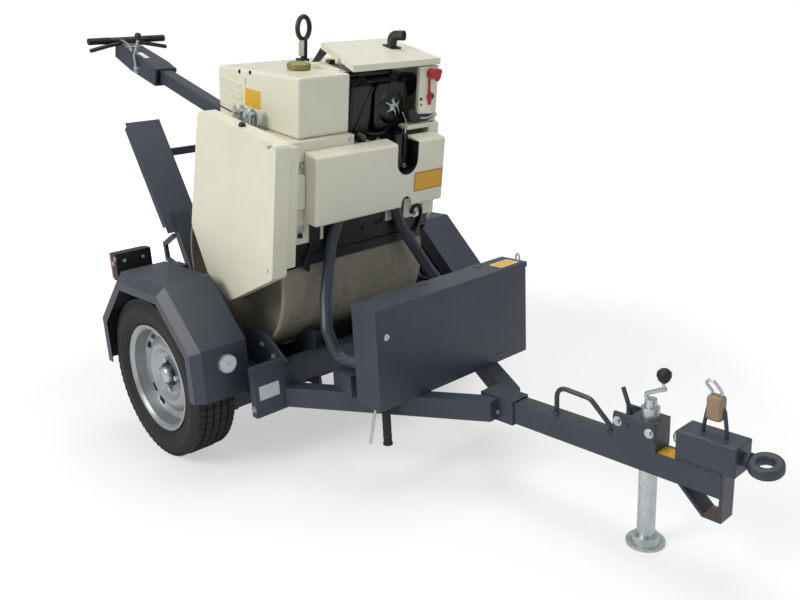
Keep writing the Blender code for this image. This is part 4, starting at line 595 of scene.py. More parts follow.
def tyre(side, place, body):
    """Carcass with ribbed walls, and five rows of tread blocks."""
    half = 0.0775
    floor = WHEEL_RADIUS - 0.0072
    wall = [(0.1703, 0.0567), (0.1855, 0.0567), (0.190, 0.0600), (0.198, 0.0692), (0.2005, 0.0712),
            (0.2030, 0.0702), (0.212, 0.0752), (0.2135, 0.0768), (0.2150, 0.0758), (0.228, half - 0.0004),
            (0.240, 0.0763), (0.2415, 0.0770), (0.2430, 0.0752), (0.251, 0.0735), (0.2600, 0.0675),
            (0.2655, 0.0635), (0.2672, 0.0600)]
    profile = wall + [(floor, 0.056), (floor + 0.0003, 0.0), (floor, -0.056)]
    profile += [(radius, -height) for radius, height in reversed(wall)]
    carcass = solid("tyre_carcass_" + side, RUBBER, (spun, profile, place, 96), body=body, angle=50)
    rows = []
    for offset, width, skew, count in ((0.0, 0.021, 0.0, 60), (0.0265, 0.020, 0.16, 60),
                                       (-0.0265, 0.020, -0.16, 60), (0.0545, 0.023, 0.10, 66),
                                       (-0.0545, 0.023, -0.10, 66)):
        top = WHEEL_RADIUS - (0.0025 if abs(offset) > 0.05 else 0.0003)
        length = 2 * math.pi * WHEEL_RADIUS / count * 0.90
        rows.append(grown("tread", RING, {
            "Count": count, "Radius": top - 0.0045, "Size": (0.009, length, width),
            "Offset": (0.0, 0.0, offset), "Skew": skew, "Material": RUBBER}, place=place))
    joined("tyre_tread_" + side, rows, body)
    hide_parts("tyre_" + side)


def rim_cutter():
    """Eight slots in four pairs near the edge of the disc, and four holes round the hub."""
    shape = bmesh.new()
    quarters = [math.pi / 2 * index for index in range(4)]
    for at in [quarter + math.pi / 4 + lean * 0.20 for quarter in quarters for lean in (-1, 1)]:
        spot = Matrix.Rotation(at, 4, "Z") @ Matrix.Translation((0.1415, 0.0, 0.0))
        slab(shape, panel(0.0150, 0.034, 0.0074, 4), -0.03, 0.05, spot)
    for at in quarters:
        spot = Matrix.Rotation(at, 4, "Z") @ Matrix.Translation((0.0540, 0.0, 0.0))
        slab(shape, panel(0.013, 0.013, 0.0063, 4), -0.03, 0.05, spot)
    bmesh.ops.recalc_face_normals(shape, faces=shape.faces)
    return placed("slot_cutter", meshed("slot_cutter", shape))


def rim(side, place, body):
    """Rolled rim ring, and a pressed disc with its slots cut through."""
    sheet = 0.0035
    face = [(0.1625, 0.0165), (0.1560, 0.0195), (0.1500, 0.0185), (0.1330, 0.0125), (0.1240, 0.0190),
            (0.1120, 0.0265), (0.1010, 0.0290), (0.0900, 0.0262), (0.0800, 0.0180), (0.0720, 0.0140),
            (0.0420, 0.0138), (0.0365, 0.0120)]
    profile = face + [(radius, height - sheet) for radius, height in reversed(face)]
    disc = solid("rim_disc_" + side, LACQUER, (spun, profile, Matrix(), 72), body=body, angle=28)
    cutter = rim_cutter()
    step = disc.modifiers.new("slots", "BOOLEAN")
    step.operation = "DIFFERENCE"
    step.solver = "EXACT"
    step.object = cutter
    cut = after_modifiers(disc)
    disc.modifiers.clear()
    disc.data = cut
    cut.transform(place)
    smoothed(cut, 28)
    bpy.data.objects.remove(cutter, do_unlink=True)
    flange = [(0.1838, 0.0628), (0.1840, 0.0590), (0.1805, 0.0572), (0.1700, 0.0570), (0.1690, 0.030),
              (0.1660, 0.020), (0.1660, -0.030), (0.1700, -0.0570), (0.1820, -0.0590), (0.1838, -0.0628),
              (0.1760, -0.0630), (0.1655, -0.0540), (0.1620, -0.028), (0.1620, 0.018), (0.1652, 0.032),
              (0.1655, 0.0535), (0.1700, 0.0580), (0.1765, 0.0630)]
    ring = solid("rim_ring_" + side, LACQUER, (spun, flange, place, 72), body=body, angle=28)
    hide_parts("rim_" + side)


def hub(side, place, body):
    """Black ring, plated cap, brake drum, bolts and tyre valve."""
    bolt_circle = 0.054
    solid("hub_ring_" + side, PLASTIC,
          (spun, [(0.0415, -0.002), (0.0415, 0.020), (0.0390, 0.0235), (0.0355, 0.0245), (0.0325, 0.0245),
                  (0.0305, 0.022), (0.0305, -0.002)], place, 40), body=body)
    solid("hub_cap_" + side, ZINC,
          (spun, [(0.0, 0.0395), (0.0200, 0.0390), (0.0268, 0.0355), (0.0292, 0.030), (0.0300, 0.020),
                  (0.0300, 0.0), (0.0, 0.0)], place, 40), body=body, angle=50)
    back = solid("brake_drum_" + side, SLATE,
                 (spun, [(0.0, 0.0055), (0.100, 0.0055), (0.105, 0.0), (0.105, -0.038), (0.098, -0.043),
                         (0.062, -0.0435), (0.0165, -0.0435), (0.0165, 0.0), (0.0, 0.0)], place, 40),
                 body=body)
    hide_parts("hub_" + side)
    bolts("wheel_bolts_" + side, place,
          [(bolt_circle * x, bolt_circle * y, 0.0095, "top") for x, y in ((1, 0), (0, 1), (-1, 0), (0, -1))],
          0.0165, 0.012, body=body)
    solid("tyre_valve_" + side, PLASTIC,
          (pipe, [(0.1585, 0.0, 0.018), (0.1500, 0.0, 0.034), (0.1455, 0.0, 0.044)],
           [0.0050, 0.0035, 0.0035], 12, place), body=body)


for side, way in SIDES:
    hub_place = (TRAILER @ Matrix.Translation((0.0, way * WHEEL_Y, WHEEL_RADIUS))
                 @ Matrix.Rotation(-math.pi / 2 * way, 4, "X"))
    for make in (tyre, rim, hub):
        make(side, hub_place, "wheel_" + side)


# Fenders, lamps and reflectors

def fender_trim(side, way):
    """Reflector ring and screw, lamp screws and bands, and the bolts to the fender's two brackets."""
    centre = way * FENDER_Y
    place = on(TRAILER, "front", (FENDER_FRONT, centre, 0.392))
    solid("reflector_bezel_" + side, ZINC,
          (spun, [(0.0300, -0.0095), (0.0300, 0.0006), (0.0282, 0.0022), (0.0262, 0.0010),
                  (0.0262, -0.0095)], place, 40))
    solid("reflector_screw_" + side, ZINC,
          (spun, [(0.0, 0.0030), (0.0028, 0.0028), (0.0042, 0.0012), (0.0042, -0.004), (0.0, -0.004)],
           place, 16))
    bolts("lamp_screws_" + side, TRAILER,
          [(x, centre + way * 0.065, z, side) for x, z in ((-0.222, 0.632), (-0.206, 0.650))], 0.009, 0.003)
    bolts("lamp_nuts_" + side, TRAILER,
          [(-0.200, centre + way * y, 0.640, "front") for y in (-0.034, 0.034)], 0.007, 0.003)
    solid("lamp_bands_" + side, PLASTIC,
          *[(block, (-0.2552, -0.2546), (centre - 0.060, centre + 0.060), (z, z + 0.0022), TRAILER)
            for z in (0.602, 0.636)])
    bolts("fender_bolts_" + side, TRAILER, [(x, way * FENDER_WALL, 0.305, side) for x in (0.296, -0.270)],
          0.013, 0.005)


for side, way in SIDES:
    fender_trim(side, way)


# Toolbox

def toolbox_trim():
    """Hinges, blank plate, hasp and lock, tack welds, and the rod and rings of the prop below."""
    lid = "toolbox_lid"
    solid("lid_hinge_welds", ANTHRACITE,
          *[(slab, panel(0.020, 0.034, 0.007), 0.0, 0.0014, on(TRAILER, "top", (0.716, y, LID_TOP)))
            for y in LID_HINGES], body=lid)
    pin = LID_TOP - 0.004
    solid("lid_hinge_knuckles", ANTHRACITE,
          *[(pipe, [(0.6925, y - 0.030, pin), (0.6925, y + 0.030, pin)], 0.0042, 12, TRAILER)
            for y in LID_HINGES])
    sign("lid_plate", TRAILER, "top", (0.762, 0.268, LID_TOP), 0.052, 0.088, YELLOW, lid, PALE)
    loop = [(0.771, -0.001), (0.771, 0.016), (0.778, 0.026), (0.785, 0.016), (0.785, -0.001)]
    arch = curve_through([(x, 0.318, LID_TOP + up) for x, up in loop], 16)
    solid("hasp_loop", ZINC, (pipe, arch, 0.0032, 10, TRAILER), body=lid)
    place = on(TRAILER, "front", (TOOLBOX_FRONT, -0.292, 0.512))
    solid("toolbox_lock", ZINC,
          (spun, [(0.0, 0.0045), (0.0075, 0.0042), (0.0100, 0.0026), (0.0108, 0.0), (0.0, 0.0)], place, 24),
          (block, (-0.0007, 0.0007), (-0.004, 0.004), (0.0030, 0.0050), place))
    tacks = [-0.190 + index * 0.092 for index in range(5)]
    tack_x = TOOLBOX_FRONT + 0.0004
    weld("toolbox_front_welds", [((tack_x, y, 0.318), (tack_x, y + 0.036, 0.318)) for y in tacks], 0.0017)
    seats = [((0.7975, y - 0.02, 0.2915), (0.7975, y + 0.02, 0.2915)) for y in (-0.10, 0.10)]
    weld("toolbox_seat_welds", seats, 0.0024)
    rod = [(0.742, -0.300, 0.290), (0.742, -0.300, 0.275), (0.725, -0.315, 0.160)]
    solid("prop_rod", ZINC, (pipe, rod, 0.0045, 10, TRAILER))
    foot = on(TRAILER, "top", (0.752, -0.268, 0.0))
    rings = [(0.150, 0.0150, 0.0133, 0.006)] + [(z, 0.0138, 0.0131, 0.004) for z in (0.176, 0.202, 0.228)]
    solid("prop_sleeve_rings", PLASTIC,
          *[(spun, [(outer, z), (outer, z + depth), (inner, z + depth), (inner, z)], foot, 24)
            for z, outer, inner, depth in rings])


toolbox_trim()


# Drawbar, jack clamp, coupling

def drawbar_trim():
    """Welds and bolts of the drawbar and its sleeve, and its blank plate."""
    solid("grab_handle_welds", ANTHRACITE,
          *[(spun, [(0.0072, 0.005), (0.0100, 0.0025), (0.0112, 0.0), (0.0072, 0.0)],
             on(TRAILER, "top", (x, 0.0, BAR_TOP)), 24) for x in (1.180, 1.362)])
    sign("drawbar_plate", TRAILER, "top", (1.545, -0.004, BAR_TOP), 0.078, 0.046, YELLOW)
    across = SLEEVE_SIDE - 0.006
    near = -SLEEVE_SIDE + 0.004
    over = BAR_TOP + 0.0045
    weld("sleeve_welds", [((SLEEVE_FRONT, -across, over), (SLEEVE_FRONT, across, over)),
                          ((SLEEVE_FRONT, near, 0.2225), (SLEEVE_FRONT, near, 0.2880))], 0.0026)
    bolts("sleeve_bolt", TRAILER, [(0.985, way * SLEEVE_SIDE, 0.247, side) for side, way in SIDES],
          0.012, 0.005)
    solid("clamp_plate", ANTHRACITE,
          (slab, panel(0.126, 0.054, 0.010), 0.0002, 0.0040,
           on(TRAILER, "right", (CLAMP_MIDDLE, CLAMP_SIDE, 0.344))), bevel=0.001)
    bolts("clamp_bolts", TRAILER,
          [(x, CLAMP_SIDE - 0.004, z, "right") for x, z in ((1.403, 0.348), (1.496, 0.342))], 0.014, 0.006)
    weld("coupling_welds", [((1.575, y, 0.2990), (1.690, y, 0.2990)) for y in (-0.0405, 0.0405)], 0.0026)


def tow_eye():
    """Damper end and collar of the coupling, and its thick forged ring, a little turned on the shank."""
    solid("damper_end", ZINC,
          (spun, [(0.0, 0.020), (0.012, 0.0195), (0.0165, 0.016), (0.0180, 0.010), (0.0180, 0.0),
                  (0.0, 0.0)], on(TRAILER, "rear", (1.5702, -0.004, 0.343)), 28), angle=50)
    solid("coupling_collar", CASTING,
          (spun, [(0.0, 0.018), (0.0150, 0.018), (0.0215, 0.016), (0.0215, 0.012), (0.0165, 0.010),
                  (0.0165, 0.0), (0.0, 0.0)], on(TRAILER, "front", (COLLAR_X, 0.0, EYE_Z)), 28))
    turned = TRAILER @ Matrix.Translation((EYE_X, 0.0, EYE_Z)) @ Matrix.Rotation(math.radians(12.0), 4, "X")
    bore, outer, half, fillet = 0.0190, 0.0419, 0.0150, 0.0085
    middle = (outer + bore) / 2
    reach = (outer - bore) / 2 - fillet
    # each corner of the section is a quarter turn, taken clockwise from the outer upper one
    profile = []
    for quarter, (side, up) in enumerate(((1, 1), (1, -1), (-1, -1), (-1, 1))):
        for step in range(5):
            turn = math.pi / 2 * (1 - quarter - step / 4)
            profile.append((middle + side * reach + fillet * math.cos(turn),
                            up * (half - fillet) + fillet * math.sin(turn)))
    ring = solid("forged_eye", CASTING, (spun, profile, turned, 48), angle=60)
    solid("eye_shank", CASTING, (pipe, [(1.7455, 0.0, EYE_Z), (1.7600, 0.0, EYE_Z)], 0.0140, 24, TRAILER))
    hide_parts("tow_eye")


drawbar_trim()
tow_eye()


# Roller body: buttons, bolts, louvres, plates, linkage

def cover_trim():
    """Screw, rubber button and catch of the right side cover."""
    bolts("cover_screw", ROLLER, [(0.290, COVER_SIDE, 0.116, "right")], 0.011, 0.004, CREAM)
    button = ROLLER @ Matrix.Translation((0.137, -0.402, 0.5155)) @ Matrix.Rotation(0.056, 4, "Y")
    solid("cover_button", PLASTIC,
          (spun, [(0.0, 0.014), (0.005, 0.0132), (0.0092, 0.010), (0.0110, 0.005), (0.0105, 0.0),
                  (0.0, 0.0)], button, 24))
    catch = on(ROLLER, "right", (0.306, COVER_SIDE, 0.494), 0.5)
    solid("cover_catch", ZINC, (slab, panel(0.020, 0.0065, 0.003), -0.001, 0.0035, catch), bevel=0.001)


def hood_trim():
    """What is fixed to the front of the hood and the beam, beside and below the front box."""
    bolts("cheek_bolts", ROLLER,
          [(HOOD_FRONT, y, z, "front") for y, z in ((-0.292, 0.413), (-0.293, 0.214))], 0.015, 0.005)
    bolts("hood_bolt", ROLLER, [(HOOD_FRONT, -0.104, 0.470, "front")], 0.010, 0.004)
    solid("hinge_cover", CREAM,
          (slab, panel(0.046, 0.108, 0.006), 0.0, 0.014, on(ROLLER, "front", (HOOD_FRONT, -0.309, 0.337))),
          bevel=0.003)
    solid("hood_knobs", PLASTIC,
          (spun, [(0.0, 0.012), (0.005, 0.0115), (0.0078, 0.008), (0.0080, 0.0), (0.0, 0.0)],
           on(ROLLER, "front", (HOOD_FRONT, -0.298, 0.196)), 20),
          (spun, [(0.0, 0.003), (0.0032, 0.003), (0.0032, 0.0), (0.0, 0.0)],
           on(ROLLER, "front", (HOOD_FRONT, -0.328, 0.230)), 12))
    solid("scraper_bracket", SLATE,
          (slab, [(-0.262, 0.2345), (-0.262, 0.150), (-0.286, 0.104), (-0.284, 0.086), (-0.268, 0.070),
                  (-0.258, 0.078), (-0.262, 0.098), (-0.240, 0.138), (-0.222, 0.144), (-0.222, 0.2345)],
           0.0, 0.006, on(ROLLER, "front", (HOOD_FRONT + 0.0003, 0.0, 0.0))), bevel=0.001)
    bolts("beam_bolts", ROLLER,
          [(BEAM_FRONT, y, z, "front") for y, z in ((-0.035, 0.168), (0.026, 0.172), (0.045, 0.176))],
          0.013, 0.005, SLATE)
    plate_face = BEAM_FRONT + 0.0016
    solid("hook_plate", CREAM,
          (block, (BEAM_FRONT + 0.0003, plate_face), (0.142, 0.228), (0.167, 0.2345), ROLLER))
    bolts("hook_bolt", ROLLER, [(plate_face, 0.196, 0.176, "front")], 0.015, 0.009)
    solid("bay_shelf", CREAM,
          (block, (0.238, 0.2798), (0.136, 0.2345), (0.470, 0.4838), ROLLER), bevel=0.001)
    sign("beam_plate", ROLLER, "front", (BEAM_FRONT, 0.077, 0.190), 0.036, 0.034, GREY_VINYL)


def louvre(shape, place):
    """A pressed hood that tapers into the sheet at both ends."""
    section = [(0.0, -0.0065), (0.0, 0.0065), (0.0060, 0.0015), (0.0064, -0.0035)]
    rings = [[shape.verts.new(place @ Vector((x, -out * grow, up * grow))) for out, up in section]
             for x, grow in ((0.0, 0.25), (0.010, 1.0), (0.122, 1.0), (0.132, 0.25))]
    for lower, upper in zip(rings, rings[1:]):
        band(shape, lower, upper)
    shape.faces.new(rings[0][::-1])
    shape.faces.new(rings[-1])


def tank_trim():
    """Screws, inner edge, louvres, panel seam, blank plate and filler cap of the water tank."""
    bolts("tank_screws", ROLLER,
          [(x, TANK_SIDE, z, "right") for x, z in ((-0.049, 0.637), (0.009, 0.643))], 0.007, 0.002, SLATE)
    solid("tank_lip", CREAM,
          (block, (0.030, 0.206), (TANK_EDGE - 0.005, TANK_EDGE + 0.001), (0.640, 0.6690), ROLLER),
          (slab, [(0.036, TANK_EDGE), (0.214, TANK_EDGE), (0.214, -0.072), (0.060, -0.032), (0.036, -0.032)],
           0.6600, 0.6640, ROLLER), bevel=0.0012)
    lean = Matrix.Rotation(math.radians(7.5), 4, "Y")
    solid("tank_louvres", CREAM,
          *[(louvre,
             ROLLER @ Matrix.Translation((-0.166, TANK_SIDE + 0.0002, 0.616 - index * 0.0205)) @ lean)
            for index in range(5)], bevel=0.0012, angle=50)
    solid("tank_panel_seam", SLATE,
          (block, (-0.0172, -0.0152), (TANK_SIDE - 0.0004, TANK_SIDE + 0.0010), (0.546, 0.622), ROLLER))
    sign("tank_plate", ROLLER, "right", (0.0225, TANK_SIDE, 0.566), 0.092, 0.064, YELLOW, rim=PALE)
    centre = on(ROLLER, "top", (0.092, -0.161, 0.6578))
    shell = [(0.0, 0.0212), (0.0235, 0.0210), (0.0260, 0.0195), (0.0310, 0.0195), (0.0350, 0.0175),
             (0.0362, 0.0145), (0.0362, 0.0015), (0.0340, 0.0), (0.0, 0.0)]
    cover = solid("filler_cap_shell", BRASS, (spun, shell, centre, 48))
    joined("filler_cap_ribs", [grown("knurl", RING, {
        "Count": 30, "Radius": 0.0358, "Size": (0.0026, 0.0042, 0.0130), "Offset": (0.0, 0.0, 0.0085),
        "Skew": 0.0, "Material": BRASS}, place=centre)])
    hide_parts("filler_cap")


def clevis_trim():
    """The plated linkage on the hood beside the tank, where the travel cable from the handle ends."""
    ears = (0.022, 0.079)
    forms = [(block, (-0.004, 0.108), (-0.352, -0.300), (HOOD_TOP, HOOD_TOP + 0.004), ROLLER)]
    for x in ears:
        upright = on(ROLLER, "right", (x, -0.344, 0.520))
        forms += [(slab, panel(0.036, 0.066, 0.0175, 5), 0.0, 0.004, upright),
                  (slab, panel(0.036, 0.060, 0.0175, 5), -0.026, -0.022, upright),
                  (pipe, [(x, -0.354, 0.532), (x, -0.312, 0.532)], 0.0065, 14, ROLLER)]
    forms += [(block, (0.010, 0.092), (-0.3345, -0.3305), (0.505, 0.524), ROLLER),
              (pipe, [(-0.030, -0.320, 0.515), (0.020, -0.330, 0.520)], 0.0052, 12, ROLLER)]
    solid("travel_clevis", ZINC, *forms, bevel=0.0008)
    bolts("clevis_bolts", ROLLER, [(x, -0.3485, 0.532, "right") for x in ears], 0.014, 0.006)
    line = curve_through([(-0.236, -0.030, 0.365), (-0.222, -0.150, 0.440), (-0.192, -0.262, 0.500),
                          (-0.155, -0.300, 0.518), (-0.090, -0.310, 0.516), (-0.028, -0.320, 0.515)], 30)
    solid("travel_cable", PLASTIC, (pipe, line, 0.0022, 10, ROLLER))


def round_slot(half, low, high, steps=12):
    """Outline of a slot with a round lower end, from its upper right corner round to its upper left."""
    middle = low + half
    outline = [(half, high), (half, middle)]
    outline += [(half * math.cos(math.pi * k / steps), middle - half * math.sin(math.pi * k / steps))
                for k in range(1, steps)]
    return outline + [(-half, middle), (-half, high)]


def front_box_trim():
    """Blank plate of the front box, the latch in its slot, and a black liner with a back plate in the slot,
    partly a rubber lining and partly painted shade of the slot's dark inside.
    """
    sign("front_plate", ROLLER, "front", (BOX_FRONT, 0.1835, 0.313), 0.130, 0.064, ORANGE, rim=OCHRE)
    place = on(ROLLER, "front", (0.0, SLOT_Y, 0.0))
    outer, inner = round_slot(0.0452, 0.3443, 0.4465), round_slot(0.0425, 0.3470, 0.4465)
    # black walls and a black back plate in the slot: partly a rubber lining, partly painted shade that
    # closes the view into the bay
    solid("slot_liner_and_shade", PLASTIC,
          (slab, outer + inner[::-1], 0.2808, BOX_FRONT - 0.0004, place),
          (slab, round_slot(0.0430, 0.3465, 0.4465), 0.2806, 0.2840, place))
    solid("rubber_latch", SHROUD,
          (slab, round_slot(0.0270, 0.358, 0.470), 0.300, 0.312, place),
          (slab, [(0.004, 0.468), (0.012, 0.468), (0.010, 0.388), (0.005, 0.388)], 0.3118, 0.3190, place),
          bevel=0.003)
    solid("latch_ring", ZINC,
          (spun, [(0.0042, 0.0), (0.0080, 0.0), (0.0080, 0.0030), (0.0042, 0.0030)],
           place @ Matrix.Translation((0.014, 0.366, 0.3122)), 20))


def battery_isolator():
    """The red switch with its key on a strap, and the screws and blank plate of the column."""
    place = on(ROLLER, "front", (COLUMN_FRONT + 0.0003, 0.245, 0.0))
    upper = place @ Matrix.Translation((0.0, 0.640, 0.0))
    lower = place @ Matrix.Translation((0.003, 0.567, 0.0))
    switch = solid(
        "isolator_switch", RED,
        (spun, [(0.0, 0.014), (0.012, 0.0136), (0.0165, 0.011), (0.0172, 0.0), (0.0, 0.0)], upper, 28),
        (slab, [(-0.018, 0.010), (-0.011, 0.017), (0.028, 0.016), (0.035, 0.009), (0.030, -0.012),
                (0.022, -0.024), (0.012, -0.023), (0.006, -0.009), (-0.013, -0.006)], 0.0115, 0.0205, upper),
        (slab, [(-0.0085, 0.630), (-0.0020, 0.630), (0.0015, 0.560), (-0.0060, 0.560)], 0.001, 0.006, place),
        (spun, [(0.0, 0.012), (0.008, 0.0115), (0.0125, 0.009), (0.0135, 0.0), (0.0, 0.0)], lower, 24),
        (slab, panel(0.012, 0.024, 0.005), 0.001, 0.008, place @ Matrix.Translation((0.000, 0.551, 0.0))),
        bevel=0.0016)
    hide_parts("battery_switch")
    solid("isolator_hub", SHROUD,
          (spun, [(0.0, 0.0130), (0.0055, 0.0130), (0.0055, 0.0110), (0.0, 0.0110)],
           lower @ Matrix.Translation((0.003, 0.001, 0.0)), 20))
    bolts("column_screws", ROLLER, [(COLUMN_FRONT, 0.2095, z, "front") for z in (0.559, 0.542)],
          0.0065, 0.002, SLATE)
    sign("column_plate", ROLLER, "front", (COLUMN_FRONT, 0.229, 0.530), 0.052, 0.052, PALE)


def engine_trim():
    """What shows of the engine: top cover, grey cowl seams (real fold ridges whose lighter grey is painted
    highlight), starter cover and star, ribbed air cleaner, fins.
    """
    solid("engine_top_cover", SHROUD,
          (slab, [(0.058, -0.052), (0.182, -0.052), (0.182, 0.150), (0.160, 0.166), (0.058, 0.166)],
           0.6284, 0.652, ROLLER), bevel=0.008)
    # thin ridges on the folds of the black cowl; their lighter grey is a painted highlight along the folds
    corner = (0.2288, -0.048, 0.604)
    long_seam_highlight = [(0.2418, 0.017, 0.612), (0.2330, -0.006, 0.560), (0.2230, -0.040, 0.474)]
    solid("cowl_seam_highlights", CASTING,
          (pipe, long_seam_highlight, 0.0022, 8, ROLLER),
          (pipe, [corner, (0.2372, -0.004, 0.608)], 0.0020, 8, ROLLER),
          (pipe, [corner, (0.2180, -0.052, 0.470)], 0.0016, 8, ROLLER), slot="black_plastic", angle=60)
    centre = on(ROLLER, "front", (0.1905, 0.107, 0.540))
    dome = solid("recoil_dome", SHROUD,
                 (slab, panel(0.138, 0.152, 0.030, 6), 0.0, 0.0360, centre),
                 (spun, [(0.0, 0.0450), (0.018, 0.0450), (0.020, 0.0425), (0.044, 0.0415), (0.056, 0.0350),
                         (0.0, 0.0350)], centre, 64), bevel=0.009, angle=50)
    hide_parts("starter_cowl")
    boss = [(0.0, 0.0490), (0.0090, 0.0486), (0.0120, 0.0465), (0.0120, 0.042), (0.0, 0.042)]
    star = [(spun, boss, centre, 28),
            (pipe, [(-0.006, 0.024, 0.0450), (0.014, 0.004, 0.0500), (0.034, -0.024, 0.0430)],
             [0.0025, 0.0042, 0.0024], 10, centre)]
    for turn, reach in ((0.5, 0.034), (1.5, 0.030), (2.6, 0.033), (3.7, 0.028), (5.2, 0.034)):
        blade = [(share * math.cos(turn), share * math.sin(turn), height)
                 for share, height in ((0.008, 0.0465), (reach * 0.6, 0.0485), (reach, 0.0440))]
        star.append((pipe, blade, [0.0050, 0.0036, 0.0014], 10, centre))
    solid("recoil_centre", ZINC, *star, angle=50)
    joined("air_cleaner_ribs", [grown("ribs", ROW, {
        "Count": 4, "Step": (0.0085, 0.0, 0.0), "Start": (0.172, 0.2145, 0.598), "Radius": 0.0375,
        "Depth": 0.0030, "Sides": 40, "Turn": (0.0, math.pi / 2, 0.0), "Material": PLASTIC}, place=ROLLER)])
    joined("cylinder_fins", [grown("fins", ROW, {
        "Count": 8, "Step": (0.0, 0.0, 0.0088), "Start": (0.120, 0.160, 0.492), "Radius": 0.050,
        "Depth": 0.0024, "Sides": 36, "Turn": (0.0, 0.0, 0.0), "Material": SLATE}, place=ROLLER)])


def engine_hardware():
    """Feet, hoses and throttle bracket low in front of the engine, seen over the front box."""
    solid("engine_feet", SLATE,
          (block, (0.1905, 0.234), (-0.056, 0.104), (0.420, 0.452), ROLLER),
          *[(pipe, [(0.206, y, 0.450), (0.206, y, 0.474)], 0.011, 16, ROLLER)
            for y in (-0.030, 0.024, 0.076)],
          (block, (0.195, 0.250), (-0.010, 0.060), (0.3505, 0.425), ROLLER), bevel=0.002)
    bolts("engine_bolts", ROLLER, [(0.2342, y, 0.438, "front") for y in (-0.042, 0.006, 0.052)],
          0.011, 0.005)
    solid("drain_spout", RUSTED,
          (pipe, [(0.234, -0.031, 0.466), (0.262, -0.034, 0.462)], 0.0095, 16, ROLLER))
    fuel = curve_through([(0.206, 0.130, 0.470), (0.238, 0.136, 0.468), (0.262, 0.132, 0.462),
                          (0.285, 0.108, 0.452), (0.306, 0.088, 0.444)], 20)
    breather = curve_through([(0.205, -0.010, 0.474), (0.238, 0.020, 0.462), (0.244, 0.070, 0.464),
                              (0.215, 0.110, 0.478)], 20)
    solid("engine_hoses", PLASTIC,
          (pipe, fuel, 0.0080, 12, ROLLER), (pipe, breather, 0.0060, 12, ROLLER), angle=60)
    wire = curve_through([(0.238, 0.150, 0.520), (0.262, 0.146, 0.494), (0.276, 0.132, 0.470),
                          (0.290, 0.118, 0.452)], 12)
    lever = [(0.2665, 0.204, 0.500), (0.2665, 0.240, 0.497), (0.2665, 0.272, 0.505)]
    solid("throttle_rod", ZINC,
          (pipe, wire, 0.0022, 8, ROLLER),
          (pipe, lever, 0.0036, 10, ROLLER),
          (pipe, [(0.2625, 0.274, 0.505), (0.2715, 0.274, 0.505)], 0.0062, 16, ROLLER), angle=60)
    solid("throttle_bracket", SLATE,
          (slab, [(0.150, 0.526), (0.178, 0.534), (0.192, 0.514), (0.262, 0.508), (0.270, 0.497),
                  (0.238, 0.4872), (0.176, 0.4860), (0.164, 0.500)],
           0.2628, 0.2668, ROLLER @ FACES["front"]),
          (pipe, [(0.232, 0.166, 0.508), (0.268, 0.166, 0.508)], 0.0100, 16, ROLLER), bevel=0.0006)


def canopy_trim():
    """Screw, stay and stop of the engine lid, and the sooty mouth of the exhaust."""
    lid = "engine_lid"
    bolts("canopy_screws", ROLLER, [(0.170, -0.0632, 0.6845, "right")], 0.010, 0.0035, body=lid)
    stay = curve_through([(0.200, -0.070, 0.679), (0.222, -0.060, 0.668), (0.245, -0.020, 0.660),
                          (0.252, 0.020, 0.672)], 12)
    solid("lid_stay", PLASTIC, (pipe, stay, 0.0038, 10, ROLLER), body=lid)
    solid("hinge_stop", RUSTED, (block, (0.008, 0.028), (0.010, 0.036), (0.650, 0.664), ROLLER), bevel=0.002)
    mouth, out = Vector((0.1604, 0.2162, 0.7485)), Vector((0.040, 0.016, 0.004))
    place = ROLLER @ Matrix.Translation(mouth) @ out.to_track_quat("Z", "Y").to_matrix().to_4x4()
    solid("exhaust_mouth", SOOT,
          (spun, [(0.0, 0.0006), (0.0142, 0.0006), (0.0142, -0.0050), (0.0, -0.0050)], place, 28), body=lid)
    sign("eye_plate", ROLLER, "front", (-0.0738, -0.0265, 0.690), 0.022, 0.050, PALE)


for trim in (cover_trim, hood_trim, tank_trim, clevis_trim, front_box_trim, battery_isolator, engine_trim,
             engine_hardware, canopy_trim):
    trim()


# Handle

def handle_trim():
    """Blank plate, lever linkage, stop button, mouth and ribs of the console and its grips."""
    body = "handle"
    sign("console_plate", HANDLE, "top", (0.975, 0.016, CONSOLE_TOP), 0.070, 0.022, PALE, body)
    link = curve_through([(1.150, 0.030, 0.040), (1.130, 0.038, 0.058), (1.070, 0.040, 0.060),
                          (1.020, 0.046, 0.044)], 14)
    solid("lever_linkage", ZINC,
          (slab, panel(0.056, 0.070, 0.006), 0.0, 0.003, on(HANDLE, "top", (1.115, 0.0, CONSOLE_TOP))),
          (pipe, link, 0.0045, 10, HANDLE), body=body, bevel=0.0008)
    solid("stop_button", PLASTIC,
          (spun, [(0.0, 0.020), (0.008, 0.0195), (0.0115, 0.016), (0.0120, 0.0), (0.0, 0.0)],
           HANDLE @ Matrix.Translation((0.850, -0.046, 0.012)) @ Matrix.Rotation(math.pi / 2, 4, "X"), 24),
          body=body)
    solid("console_mouth", SHROUD,
          (block, (0.8150, 0.8188), (-0.036, 0.036), (-0.031, 0.026), HANDLE), body=body)
    joined("grip_ribs", [grown("grip_ribs", ROW, {
        "Count": 22, "Step": (0.0, way * 0.0045, 0.0), "Start": (GRIPS_X, way * -0.172, GRIPS_Z),
        "Radius": 0.0140, "Depth": 0.0022, "Sides": 20, "Turn": (math.pi / 2, 0.0, 0.0),
        "Material": PLASTIC}, place=HANDLE) for way in (-1.0, 1.0)], body)
    solid("travel_bars", PLASTIC,
          *[(pipe, [(1.138, way * 0.034, 0.044), (1.134, way * 0.090, 0.036), (1.128, way * 0.176, 0.020)],
             0.0085, 16, HANDLE) for way in (-1.0, 1.0)], body=body, angle=50)


handle_trim()


# Bed, latch and skid

